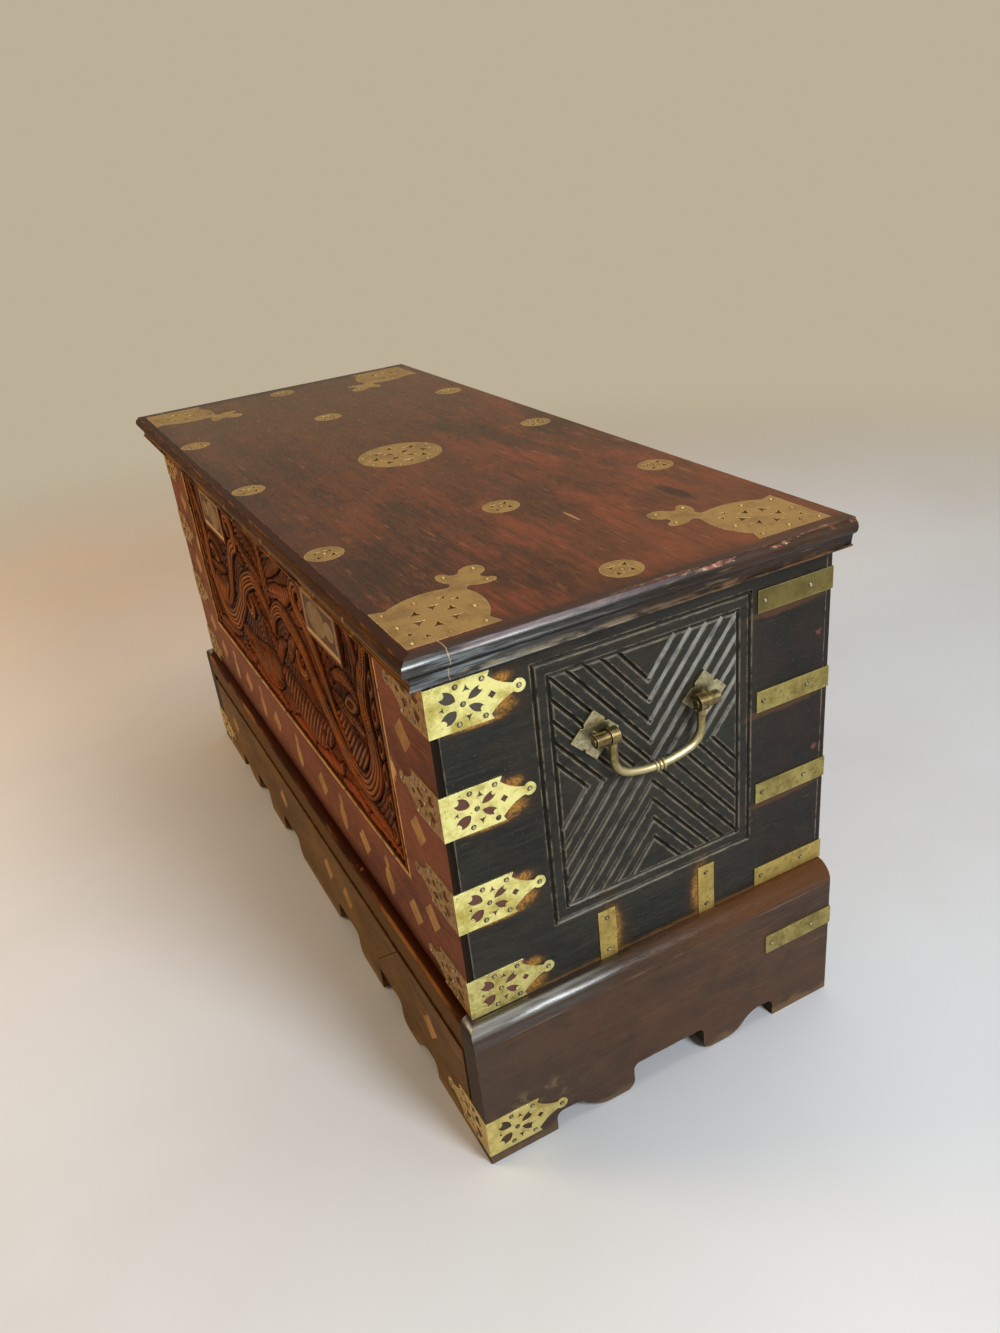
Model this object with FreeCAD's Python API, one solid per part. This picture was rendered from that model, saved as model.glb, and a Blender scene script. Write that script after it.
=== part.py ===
import FreeCAD, Part
import math
import os

# Zanzibar chest: a brass-bound coffer on a scalloped plinth with a drawer hidden in the plinth front.
# Millimetres, +Z up. X runs along the length and the front faces -Y. The origin is on the floor, in the
# middle of the whole footprint.

V = FreeCAD.Vector
ALONG_X = V(1, 0, 0)
ALONG_Y = V(0, 1, 0)
ALONG_Z = V(0, 0, 1)

# Lid
lid_length = 900.0
lid_depth = 384.0
lid_thickness = 24.5
lid_overhang_end = 26.0
lid_overhang_front = 22.0
moulding_width = 12.0
moulding_round = 3.5
moulding_arris = 1.5
moulding_round_height = 12.0
moulding_cove = 3.0

# Coffer
coffer_height = 315.5
board_thickness = 22.0
front_lap = 6.0
back_lap = 4.5
floor_thickness = 14.0

# Carved field of the front, its tablets and the brass let in round it
field_margin = 23.0
field_top_margin = 14.5
field_rise = 80.5
carving_depth = 7.0
tablet_length = 94.0
tablet_height = 50.0
tablet_offset = 193.0
tablet_drop = 8.0
tablet_line_width = 5.0
tablet_margin = 3.0
line_width = 3.0
bud_radius = 6.0
inlay_depth = 1.2
lozenge_half = 15.0
stile_lozenge_inset = 58.0
band_pitch = 121.5
fleur_height = 44.0
fleur_half_width = 9.0
fleur_waist = 2.5
fleur_spear = 13.2
fleur_barb = 5.5
plinth_lozenge_x = 334.0
plinth_lozenge_z = 67.0
drawer_lozenge_places = (-107.0, 59.0, 120.0)

# Incised panel of each end board
panel_width = 195.0
panel_top_margin = 22.5
panel_low_margin = 59.0
panel_border = 12.0
chevron_pitch = 18.4
chevrons_each_way = 4
groove_width = 4.0
groove_depth = 2.0

# Plinth
plinth_height = 149.0
plinth_ledge_end = 17.0
plinth_ledge_front = 9.0
plinth_side_thickness = 25.0
plinth_front_thickness = 20.0
plinth_back_thickness = 20.0
nose_flat = 0.5
rail_height = 32.0
shadow_height = 10.0
shadow_depth = 2.5
joint_slot = 5.0
joint_slot_low = 51.0
inner_clearance = 30.0

# Scalloped lower edge of the plinth
side_foot = 66.0
front_foot = 108.0
notch_run = 15.0
notch_rise = 20.0
notch_round = 7.0
cyma_run = 40.0
pendant_run = 18.0
pendant_clearance = 1.5
lobe_run = 8.0
lobe_rise = 24.0
arch_rise = 29.0
arch_corner = 8.0
drawer_end_pendant = 55.0
drawer_arch_run = 46.0

# Drawer behind the middle of the plinth front
drawer_opening = 396.0
drawer_flare = 84.0
drawer_flare_low = 42.0
drawer_gap = 1.0
drawer_side_thickness = 10.0
drawer_bottom_thickness = 6.0
drawer_bottom_rise = 4.0
drawer_headroom = 8.7
drawer_back_gap = 6.0
guide_thickness = 14.0
runner_width = 16.0
runner_height = 12.0
running_gap = 0.3

# Hinges
hinge_offset = 250.0
hinge_length = 76.0
leaf_depth = 20.0
leaf_thickness = 2.4
leaf_gap = 0.1
knuckle_radius = 5.0
knuckle_gap = 0.3
hinge_pin_radius = 2.5
pin_fit = 0.05
screw_radius = 1.8
screw_head_radius = 3.4
screw_head_height = 1.8
screw_length = 15.0
screw_pitch = 25.0

# Handles
handle_rise = 44.5
handle_span = 102.0
handle_drop = 42.0
bail_rod_radius = 3.5
bail_bend_radius = 18.0
bail_bend_angle = 72.0
bail_eye_radius = 7.0
bail_eye_shoulder = 0.2
eye_gap = 0.3
eye_clearance = 1.5
bail_ring_radius = 1.5
bail_ring_pitch = 3.4
post_barrel_radius = 5.5
post_barrel_width = 12.0
post_shank_radius = 3.0
post_clench_radius = 4.5
pivot_radius = 2.5
pivot_head_radius = 3.6
pivot_head_height = 1.2
rove_radius = 8.0
rove_thickness = 1.5
star_reach = 21.5
star_notch_depth = 2.6
star_notch_half = 2.4
star_thickness = 2.0

# Brass binding
straps_each_corner = 4
strap_thickness = 1.0
strap_length = 77.0
strap_height = 38.7
strap_shoulder = 50.0
strap_ear = 4.0
strap_tip_radius = 5.5
strap_neck_angle = 40.0
strap_low_margin = 1.0
strap_top_margin = 13.0
rosette_place = 27.5
petal_angle = 30.0
petal_reach = 11.5
petal_length = 13.5
petal_width = 6.6
inner_petal_angle = 146.0
inner_petal_reach = 13.6
inner_petal_width = 9.4
rosette_triangle = 4.1
rosette_triangle_along = 3.4
rosette_triangle_across = 11.0
plain_strap_length = 76.0
plain_strap_height = 19.5
plain_strap_top_margin = 23.0
upright_strap_width = 16.7
upright_strap_height = 50.0
plinth_strap_rise = 11.0
plinth_plain_strap_rise = 83.0
pin_radius = 0.9
pin_head_radius = 2.3
pin_head_height = 1.0
pin_depth = 7.0
pin_edge = 4.6

# Brass of the lid top
triangles_each_mount = 6
mount_thickness = 1.2
mount_length = 143.0
mount_ear = 70.0
mount_margin_end = 5.0
mount_margin_front = 0.5
centre_roundel_radius = 44.0
small_roundel_radius = 16.5
roundel_margin_end = 9.5
roundel_margin_edge = 0.5

# Places that follow from the sizes above
hinge_proud = 2 * knuckle_radius + knuckle_gap
lid_half = lid_length / 2
lid_front = -(lid_depth + hinge_proud) / 2
back = lid_front + lid_depth
coffer_half = lid_half - lid_overhang_end
coffer_front = lid_front + lid_overhang_front
coffer_middle = (coffer_front + back) / 2
coffer_base = plinth_height
lid_base = coffer_base + coffer_height
lid_top = lid_base + lid_thickness
plinth_half = coffer_half + plinth_ledge_end
plinth_front = coffer_front - plinth_ledge_front
plinth_inner = plinth_half - plinth_side_thickness
plinth_front_back = plinth_front + plinth_front_thickness
plinth_back_front = back - plinth_back_thickness
rail_base = plinth_height - rail_height
field_half = coffer_half - strap_length - field_margin
field_base = coffer_base + field_rise
field_top = lid_base - field_top_margin
panel_height = coffer_height - panel_top_margin - panel_low_margin
panel_middle_z = lid_base - panel_top_margin - panel_height / 2
handle_z = panel_middle_z + handle_rise
drawer_half = drawer_opening / 2 - drawer_gap
drawer_base = inner_clearance + runner_height + running_gap
drawer_side_top = rail_base - drawer_headroom
drawer_rear = plinth_back_front - drawer_back_gap
hinge_axis_y = back + knuckle_gap + knuckle_radius
bail_eye_width = 2 * (bail_rod_radius + bail_eye_shoulder)
handle_axis_x = coffer_half + star_thickness + bail_eye_radius + eye_clearance


def box(x0, x1, y0, y1, z0, z1):
    return Part.makeBox(x1 - x0, y1 - y0, z1 - z0, V(x0, y0, z0))


def cut_away(shape, tools):
    return shape.cut(tools).Solids[0]


def joined(first, others):
    return first.fuse(others).removeSplitter().Solids[0]


def mirrored(shape):
    return shape.mirror(V(0, 0, 0), ALONG_X)


def both_ends(shapes):
    return shapes + [mirrored(shape) for shape in shapes]


def outline(start, *steps):
    """Flat face in XY. A step is a corner (u, w), or a pair (through, end) for an arc."""
    edges = []
    here = V(start[0], start[1], 0)
    for step in steps + (start,):
        curved = isinstance(step[0], tuple)
        corner = step[1] if curved else step
        there = V(corner[0], corner[1], 0)
        if curved:
            edges.append(Part.Arc(here, V(step[0][0], step[0][1], 0), there).toShape())
        elif here.distanceToPoint(there) > 1e-6:
            edges.append(Part.LineSegment(here, there).toShape())
        here = there
    return Part.Face(Part.Wire(edges))


def flipped(spot):
    return (spot[0], -spot[1])


def symmetric(start, *steps):
    """Face whose second side repeats the first one across the U axis."""
    corners = [start] + [step[1] if isinstance(step[0], tuple) else step for step in steps]
    returns = []
    for index in range(len(steps) - 1, -1, -1):
        corner = flipped(corners[index])
        if isinstance(steps[index][0], tuple):
            returns.append((flipped(steps[index][0]), corner))
        else:
            returns.append(corner)
    return outline(start, *steps, *returns)


def set_out(shape, place, turn=0.0):
    """Copy of a flat shape turned about its own origin and moved to (u, w)."""
    copy = shape.copy()
    copy.rotate(V(0, 0, 0), ALONG_Z, turn)
    copy.translate(V(place[0], place[1], 0))
    return copy


def lay(shape, origin, along, across):
    """Moves a shape drawn in XY onto the plane at origin with the given U and W directions."""
    copy = shape.copy()
    turn = FreeCAD.Rotation(along, across, along.cross(across), "XYZ")
    copy.Placement = FreeCAD.Placement(origin, turn).multiply(copy.Placement)
    return copy


def plate(face, holes, thickness):
    pierced = face.cut(holes) if holes else face
    return pierced.Faces[0].extrude(ALONG_Z * thickness)


def lens(length, width):
    return outline((-length / 2, 0), ((0, width / 2), (length / 2, 0)), ((0, -width / 2), (-length / 2, 0)))


def petal(length, width):
    """Leaf with its point along -U and a hollow outer end."""
    prong = (length * 0.46, width * 0.3)
    return outline((-length / 2, 0), ((0, width / 2), prong), ((length * 0.26, 0), (prong[0], -prong[1])),
                   ((0, -width / 2), (-length / 2, 0)))


def hollow_triangle(reach):
    """Triangle with hollow sides, one point along +U."""
    points = [(reach * math.cos(a), reach * math.sin(a)) for a in (0, 2 * math.pi / 3, 4 * math.pi / 3)]
    dip = reach / 3
    dips = [(dip * math.cos(a), dip * math.sin(a)) for a in (math.pi / 3, math.pi, 5 * math.pi / 3)]
    return outline(points[0], (dips[0], points[1]), (dips[1], points[2]), (dips[2], points[0]))


def lozenge(half):
    return outline((-half, 0), (0, -half), (half, 0), (0, half))


def pin(spot, normal, thickness):
    """Domed brass pin whose head lies on a plate of this thickness on the wood at spot."""
    ball = (pin_head_radius ** 2 + pin_head_height ** 2) / (2 * pin_head_height)
    low = math.degrees(math.asin((ball - pin_head_height) / ball))
    middle = spot + normal * (thickness + pin_head_height - ball)
    head = Part.makeSphere(ball, middle, normal, low, 90, 360)
    shank = Part.makeCylinder(pin_radius, pin_depth + thickness, spot - normal * pin_depth, normal)
    return joined(head, [shank])


def pin_bore(spot, normal, thickness):
    depth = pin_depth + pin_fit
    return Part.makeCylinder(pin_radius + pin_fit, depth + thickness, spot - normal * depth, normal)


def pins_of(spots, thickness):
    return [pin(spot, normal, thickness) for spot, normal in spots]


def bores_of(spots, thickness):
    return [pin_bore(spot, normal, thickness) for spot, normal in spots]


def spots_on(origin, along, across, places):
    normal = along.cross(across)
    return [(origin + along * u + across * w, normal) for u, w in places]


def pierced_leg(start):
    """One leg of a pierced corner strap: eared rectangle that runs out to a round tip."""
    half = strap_height / 2
    ball = strap_length - strap_tip_radius
    neck_angle = math.radians(strap_neck_angle)
    neck = (ball - strap_tip_radius * math.cos(neck_angle), strap_tip_radius * math.sin(neck_angle))
    notch = (strap_shoulder - strap_ear / 2, half - strap_ear)
    hollow = ((notch[0] + neck[0]) / 2, neck[1] + (notch[1] - neck[1]) / 3)
    return symmetric((start, half), (strap_shoulder, half), notch, (hollow, neck),
                     ((ball, strap_tip_radius), (strap_length, 0)))


def rosette_holes():
    holes = []
    petals = ((petal_angle, petal_reach, petal_width), (inner_petal_angle, inner_petal_reach, inner_petal_width))
    for opening, reach, width in petals:
        for turn in (opening, -opening):
            angle = math.radians(turn)
            place = (rosette_place + reach * math.cos(angle), reach * math.sin(angle))
            holes.append(set_out(petal(petal_length, width), place, turn))
    for side in (-1, 1):
        place = (rosette_place + rosette_triangle_along, side * rosette_triangle_across)
        holes.append(set_out(hollow_triangle(rosette_triangle), place, 90 * side))
    inner_place = (rosette_place - 1.2 * inner_petal_reach, 0)
    holes.append(set_out(hollow_triangle(rosette_triangle * 0.7), inner_place, 180))
    holes.append(set_out(lozenge(petal_width / 2), (strap_shoulder, 0)))
    return holes


def pierced_leg_places():
    edge = strap_height / 2 - pin_edge
    inner = strap_shoulder - 1.4 * pin_edge
    return [(rosette_place - pin_edge, edge), (rosette_place - pin_edge, -edge), (inner, edge), (inner, -edge),
            (rosette_place, 0), (strap_length - strap_tip_radius, 0)]


def plain_leg(start):
    half = plain_strap_height / 2
    return symmetric((start, half), (plain_strap_length, half), (plain_strap_length, 0))


def plain_leg_places():
    return [(plain_strap_length * 0.3, 0), (plain_strap_length - pin_edge * 1.5, 0)]


def corner_strap(leg, holes, origin, first, second):
    """Strap folded round an upright corner. Each leg is given by its two directions."""
    near = lay(plate(leg(-strap_thickness), holes, strap_thickness), origin, *first)
    far = lay(plate(leg(0.0), holes, strap_thickness), origin, *second)
    return joined(near, [far])


def spread(low, high, count):
    return [low + (high - low) * index / (count - 1) for index in range(count)]


FRONT_LEGS = ((ALONG_Y, ALONG_Z), (-ALONG_X, -ALONG_Z))
BACK_LEGS = ((-ALONG_Y, -ALONG_Z), (-ALONG_X, ALONG_Z))


def front_strap_heights():
    low = coffer_base + strap_low_margin + strap_height / 2
    high = lid_base - strap_top_margin - strap_height / 2
    return spread(low, high, straps_each_corner)


def back_strap_heights():
    low = coffer_base + strap_low_margin + plain_strap_height / 2
    high = lid_base - plain_strap_top_margin - plain_strap_height / 2
    return spread(low, high, straps_each_corner)


def strap_corners():
    """Name, leg, pierced holes, pin places, directions and corner points of each set of right-hand straps."""
    front = [V(coffer_half, coffer_front, z) for z in front_strap_heights()]
    rear = [V(coffer_half, back, z) for z in back_strap_heights()]
    plinth_low = [V(plinth_half, plinth_front, plinth_strap_rise + strap_height / 2)]
    plinth_rear = [V(plinth_half, back, plinth_plain_strap_rise + plain_strap_height / 2)]
    pierced = (pierced_leg, rosette_holes(), pierced_leg_places(), FRONT_LEGS)
    plain = (plain_leg, [], plain_leg_places(), BACK_LEGS)
    return {"front_corner_straps": pierced + (front,), "back_corner_straps": plain + (rear,),
            "plinth_front_strap": pierced + (plinth_low,), "plinth_back_strap": plain + (plinth_rear,)}


def strap_spots(corners):
    """Pin spots of the first legs, which lie on an end, and of the second legs, on front or back."""
    on_end = []
    on_face = []
    leg, holes, places, legs, points = corners
    for point in points:
        on_end += spots_on(point, *legs[0], places)
        on_face += spots_on(point, *legs[1], places)
    return on_end, on_face


def strap_bores(*names):
    """Bores for every pin of the named right-hand strap sets, whichever board the pin reaches."""
    bores = []
    for name in names:
        on_end, on_face = strap_spots(strap_corners()[name])
        bores += bores_of(on_end + on_face, strap_thickness)
    return bores


def strap_set(corners):
    leg, holes, places, legs, points = corners
    on_end, on_face = strap_spots(corners)
    bores = bores_of(on_end + on_face, strap_thickness)
    straps = [corner_strap(leg, holes, point, *legs) for point in points]
    return [cut_away(strap, bores) for strap in straps]


def upright_strap_origins():
    shift = handle_span / 2
    return [V(coffer_half, coffer_middle + side * shift, coffer_base) for side in (-1, 1)]


def upright_strap_spots():
    places = [(0, upright_strap_height * share) for share in (0.16, 0.84)]
    spots = []
    for origin in upright_strap_origins():
        spots += spots_on(origin, ALONG_Y, ALONG_Z, places)
    return spots


def upright_straps():
    half = upright_strap_width / 2
    face = outline((-half, 0), (half, 0), (half, upright_strap_height), (-half, upright_strap_height))
    straps = []
    for origin in upright_strap_origins():
        strap = lay(plate(face, [], strap_thickness), origin, ALONG_Y, ALONG_Z)
        straps.append(cut_away(strap, bores_of(upright_strap_spots(), strap_thickness)))
    return straps


def fleur(scale=1.0):
    """Inlay along U: a spear point over a waist and a swelling body."""
    waist = scale * fleur_waist
    tip = scale * fleur_height / 2
    shoulder = tip - scale * fleur_spear
    barb = (shoulder + scale * fleur_barb, scale * fleur_barb)
    return symmetric((-tip, 0), ((-tip / 2, scale * fleur_half_width), (shoulder, waist)), (barb, (tip, 0)))


def band_spots():
    lozenges = [field_half, field_half - band_pitch, field_half - 2 * band_pitch]
    fleurs = [field_half - 0.5 * band_pitch, field_half - 1.5 * band_pitch]
    return lozenges, fleurs


def on_front(face, x, z, front=coffer_front):
    """Lets a flat shape into a front face, its U axis pointing up."""
    return lay(plate(face, [], inlay_depth), V(x, front + inlay_depth, z), ALONG_Z, -ALONG_X)


def front_lozenges():
    heights = front_strap_heights()
    between = [(low + high) / 2 for low, high in zip(heights, heights[1:])]
    band_z = (coffer_base + field_base) / 2
    places = [(coffer_half - stile_lozenge_inset, z) for z in between]
    places += [(x, band_z) for x in band_spots()[0]]
    return both_ends([on_front(lozenge(lozenge_half), x, z) for x, z in places])


def front_fleurs():
    band_z = (coffer_base + field_base) / 2
    sides = both_ends([on_front(fleur(), x, band_z) for x in band_spots()[1]])
    return sides + [on_front(fleur(), 0.0, band_z)]


def front_stringing():
    """Brass line under the field and up each side of it, with a bud half way up each side."""
    deep = coffer_front + inlay_depth
    low = field_base - line_width
    under = box(-field_half, field_half, coffer_front, deep, low, field_base)
    side = box(field_half, field_half + line_width, coffer_front, deep, low, field_top)
    bud = on_front(lens(4 * bud_radius, 2 * bud_radius), field_half + bud_radius, (field_base + field_top) / 2)
    return [under] + both_ends([joined(side, [bud])])


def tablet_box(depth, inset):
    half = tablet_length / 2 - inset
    top = field_top - tablet_drop - inset
    base = field_top - tablet_drop - tablet_height + inset
    return box(tablet_offset - half, tablet_offset + half, coffer_front, coffer_front + depth, base, top)


def tablet_frames():
    """Brass frame of each tablet, and the fleur that lies in it and points to the nearer end."""
    inset = tablet_margin + tablet_line_width
    frame = cut_away(tablet_box(inlay_depth, tablet_margin), [tablet_box(inlay_depth, inset)])
    scale = (tablet_length - 2 * (inset + tablet_margin)) / fleur_height
    lying = set_out(fleur(scale), (0, 0), -90)
    middle_z = field_top - tablet_drop - tablet_height / 2
    return both_ends([frame, on_front(lying, tablet_offset, middle_z)])


def front_board():
    plank = box(-coffer_half, coffer_half, coffer_front, coffer_front + board_thickness, coffer_base, lid_base)
    rebate = box(coffer_half - board_thickness, coffer_half, coffer_front + front_lap,
                 coffer_front + board_thickness, coffer_base, lid_base)
    field = box(-field_half, field_half, coffer_front, coffer_front + carving_depth, field_base, field_top)
    field = cut_away(field, both_ends([tablet_box(carving_depth, 0.0)]))
    brass = front_lozenges() + front_fleurs() + front_stringing() + tablet_frames()
    bores = both_ends(strap_bores("front_corner_straps"))
    return cut_away(plank, both_ends([rebate]) + [field] + brass + bores)


def back_board():
    plank = box(-coffer_half, coffer_half, back - board_thickness, back, coffer_base, lid_base)
    rebate = box(coffer_half - board_thickness, coffer_half, back - board_thickness, back - back_lap,
                 coffer_base, lid_base)
    bores = both_ends(strap_bores("back_corner_straps"))
    bed = leaf_thickness + leaf_gap
    bedding = box(hinge_offset - hinge_length / 2, hinge_offset + hinge_length / 2, back - leaf_depth, back,
                  lid_base - bed, lid_base)
    screws = [screw(x, pin_fit, False) for x in screw_places()]
    return cut_away(plank, both_ends([rebate, bedding] + screws) + bores)


def groove(start, end):
    """V groove on the end board between two (u, v) points of the panel."""
    run = V(end[0] - start[0], end[1] - start[1], 0)
    length = run.Length
    run.normalize()
    half = groove_width / 2
    section = outline((-half, 0), (0, -groove_depth), (half, 0), (0, groove_depth))
    bar = section.extrude(ALONG_Z * (length + groove_width))
    foot = V(start[0], start[1], 0) - run * half
    upright = FreeCAD.Rotation(ALONG_Z.cross(run), ALONG_Z, run, "XYZ")
    bar.Placement = FreeCAD.Placement(foot, upright)
    return bar


def rectangle_grooves(half_u, half_v):
    corners = [(-half_u, -half_v), (half_u, -half_v), (half_u, half_v), (-half_u, half_v)]
    return [groove(corner, corners[(index + 1) % 4]) for index, corner in enumerate(corners)]


def chevron_grooves(half_u, half_v):
    """Nested chevrons: every groove keeps |v| / half_v - |u| / half_u constant."""
    bars = []
    for index in range(-chevrons_each_way, chevrons_each_way + 1):
        level = index * chevron_pitch / half_v
        up = max(0.0, level)
        out = max(0.0, -level)
        for side_u in (-1, 1):
            for side_v in (-1, 1):
                start = (side_u * out * half_u, side_v * up * half_v)
                end = (side_u * (1 - up) * half_u, side_v * (1 - out) * half_v)
                bars.append(groove(start, end))
    return bars


def panel_grooves():
    half_u = panel_width / 2
    half_v = panel_height / 2
    inner_u = half_u - panel_border
    inner_v = half_v - panel_border
    window = box(-inner_u, inner_u, -inner_v, inner_v, -groove_depth, groove_depth)
    chevrons = Part.makeCompound(chevron_grooves(inner_u, inner_v)).common(window)
    lines = rectangle_grooves(half_u, half_v) + rectangle_grooves(inner_u, inner_v)
    origin = V(coffer_half, coffer_middle, panel_middle_z)
    return [lay(cutter, origin, ALONG_Y, ALONG_Z) for cutter in lines + chevrons.Solids]


def right_end_board():
    plank = box(coffer_half - board_thickness, coffer_half, coffer_front + front_lap, back - back_lap,
                coffer_base, lid_base)
    bores = strap_bores("front_corner_straps", "back_corner_straps")
    bores += bores_of(upright_strap_spots(), strap_thickness)
    shanks = [post_shank(y, pin_fit) for y in post_places()]
    return cut_away(plank, panel_grooves() + bores + shanks)


def floor_board():
    inner = coffer_half - board_thickness
    return box(-inner, inner, coffer_front + board_thickness, back - board_thickness,
               coffer_base, coffer_base + floor_thickness)


def ogee(start, end):
    """Two arcs from start to end, level at both."""
    run = (end[0] - start[0]) / 2
    drop = (end[1] - start[1]) / 2
    radius = (run ** 2 + drop ** 2) / (2 * abs(drop))
    turn = math.atan2(abs(drop), abs(run))
    reach = math.copysign(radius * math.sin(turn), run)
    sag = math.copysign(radius * (1 - math.cos(turn)), drop)
    middle = (start[0] + run, start[1] + drop)
    return [((start[0] + reach, start[1] + sag), middle), ((end[0] - reach, end[1] - sag), end)]


HALF_TURN_SHARE = math.sqrt(0.5)


def lobe_steps(s):
    """From a pendant's level at s up to the arch."""
    wall = s + lobe_run
    top = wall + arch_corner
    low = pendant_clearance
    mid = (low + lobe_rise) / 2
    bulge = (s + lobe_run * HALF_TURN_SHARE, mid - (mid - low) * HALF_TURN_SHARE)
    crook = (top - arch_corner * HALF_TURN_SHARE, lobe_rise + (arch_rise - lobe_rise) * HALF_TURN_SHARE)
    return [(bulge, (wall, mid)), (wall, lobe_rise), (crook, (top, arch_rise))]


def foot_steps(foot):
    """From the inner end of a foot over the notch, down the cyma and along the pendant to the arch."""
    after_notch = foot + notch_run
    after_cyma = after_notch + cyma_run
    inset = notch_round * (1 - HALF_TURN_SHARE)
    steps = [(foot, 0), (foot, notch_rise - notch_round)]
    steps.append(((foot + inset, notch_rise - inset), (foot + notch_round, notch_rise)))
    steps.append((after_notch, notch_rise))
    steps += ogee((after_notch, notch_rise), (after_cyma, pendant_clearance))
    after_pendant = after_cyma + pendant_run
    steps.append((after_pendant, pendant_clearance))
    return steps + lobe_steps(after_pendant)


def reversed_steps(start, steps, length):
    """The same steps met from the other end of an edge of this length."""
    corners = [start] + [step[1] if isinstance(step[0], tuple) else step for step in steps]
    back_steps = [(length - corners[-1][0], corners[-1][1])]
    for index in range(len(steps) - 1, -1, -1):
        corner = (length - corners[index][0], corners[index][1])
        if isinstance(steps[index][0], tuple):
            through = steps[index][0]
            back_steps.append(((length - through[0], through[1]), corner))
        else:
            back_steps.append(corner)
    return back_steps


def nose_cutters(radius):
    """Corner left of a quarter round, drawn in XY with the round's corner at the origin."""
    inset = radius * (1 - HALF_TURN_SHARE)
    return outline((0, 0), (-radius, 0), ((-inset, -inset), (0, -radius)))


def end_nose():
    radius = plinth_ledge_end - nose_flat
    waste = nose_cutters(radius).extrude(ALONG_Z * (back - plinth_front))
    return lay(waste, V(plinth_half, back, plinth_height), ALONG_X, ALONG_Z)


def front_nose(half):
    radius = plinth_ledge_front - nose_flat
    waste = nose_cutters(radius).extrude(ALONG_Z * (2 * half))
    return lay(waste, V(-half, plinth_front, plinth_height), -ALONG_Y, ALONG_Z).translated(V(2 * half, 0, 0))


def plinth_right_side():
    depth = back - plinth_front
    steps = foot_steps(side_foot)
    edge = [(side_foot, 0)] + steps[1:] + reversed_steps((side_foot, 0), steps[1:], depth)
    face = outline((0, 0), *edge, (depth, 0), (depth, plinth_height), (0, plinth_height))
    side = lay(face.extrude(ALONG_Z * plinth_side_thickness), V(plinth_inner, plinth_front, 0), ALONG_Y, ALONG_Z)
    bores = strap_bores("plinth_front_strap", "plinth_back_strap")
    return cut_away(side, [end_nose(), front_nose(plinth_half)] + bores)


def plinth_back():
    plank = box(-plinth_inner, plinth_inner, plinth_back_front, back, inner_clearance, plinth_height)
    return cut_away(plank, both_ends(strap_bores("plinth_back_strap")))


def plinth_top_rail():
    rail = box(-plinth_inner, plinth_inner, plinth_front, plinth_front_back, rail_base, plinth_height)
    return cut_away(rail, [front_nose(plinth_inner)])


def shadow_line():
    """Rebate along the top of the lower front boards, which shades the joint under the rail."""
    return box(-plinth_inner, plinth_inner, plinth_front, plinth_front + shadow_depth,
               rail_base - shadow_height, rail_base)


def plinth_lozenges():
    return [on_front(lozenge(lozenge_half), plinth_lozenge_x, plinth_lozenge_z, plinth_front)]


def plinth_front_right():
    start = plinth_inner
    end = drawer_opening / 2
    length = start - end
    foot = front_foot - plinth_side_thickness
    face = outline((0, 0), *foot_steps(foot), (length, arch_rise), (length, drawer_flare_low),
                   (length - drawer_flare, rail_base), (0, rail_base))
    plank = lay(face.extrude(ALONG_Z * plinth_front_thickness), V(start, plinth_front_back, 0), -ALONG_X, ALONG_Z)
    plank = plank.translated(V(0, -plinth_front_thickness, 0))
    slot = box(start - joint_slot, start, plinth_front, plinth_front_back, joint_slot_low, rail_base)
    bores = strap_bores("plinth_front_strap")
    return cut_away(plank, [shadow_line(), slot] + plinth_lozenges() + bores)


def drawer_guide_right():
    inner = drawer_opening / 2
    return box(inner, inner + guide_thickness, plinth_front_back, plinth_back_front, inner_clearance, plinth_height)


def drawer_runner_right():
    inner = drawer_opening / 2
    return box(inner - runner_width, inner, plinth_front_back, plinth_back_front,
               inner_clearance, inner_clearance + runner_height)


def drawer_lozenges():
    return [on_front(lozenge(lozenge_half), x, plinth_lozenge_z, plinth_front) for x in drawer_lozenge_places]


def drawer_front():
    """Scalloped below, with upper ends that flare out over the fixed boards beside it."""
    length = 2 * drawer_half
    rising = lobe_steps(drawer_end_pendant)
    far = drawer_end_pendant + 2 * (lobe_run + arch_corner) + drawer_arch_run
    falling = reversed_steps((drawer_end_pendant, pendant_clearance), rising, far + drawer_end_pendant)
    half_edge = [(drawer_end_pendant, pendant_clearance)] + rising + falling
    middle = half_edge + reversed_steps((0, pendant_clearance), half_edge, length)
    top = rail_base - drawer_gap
    flare = drawer_flare * (top - drawer_flare_low) / (rail_base - drawer_flare_low)
    face = outline((0, pendant_clearance), *middle, (length, drawer_flare_low), (length + flare, top),
                   (-flare, top), (0, drawer_flare_low))
    plank = lay(face.extrude(ALONG_Z * plinth_front_thickness), V(drawer_half, plinth_front_back, 0),
                -ALONG_X, ALONG_Z).translated(V(0, -plinth_front_thickness, 0))
    return cut_away(plank, [shadow_line()] + drawer_lozenges())


def drawer_right_side():
    return box(drawer_half - drawer_side_thickness, drawer_half, plinth_front_back, drawer_rear,
               drawer_base, drawer_side_top)


def drawer_back():
    inner = drawer_half - drawer_side_thickness
    return box(-inner, inner, drawer_rear - drawer_side_thickness, drawer_rear,
               drawer_base, drawer_side_top)


def drawer_bottom():
    inner = drawer_half - drawer_side_thickness
    low = drawer_base + drawer_bottom_rise
    return box(-inner, inner, plinth_front_back, drawer_rear - drawer_side_thickness,
               low, low + drawer_bottom_thickness)


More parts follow.
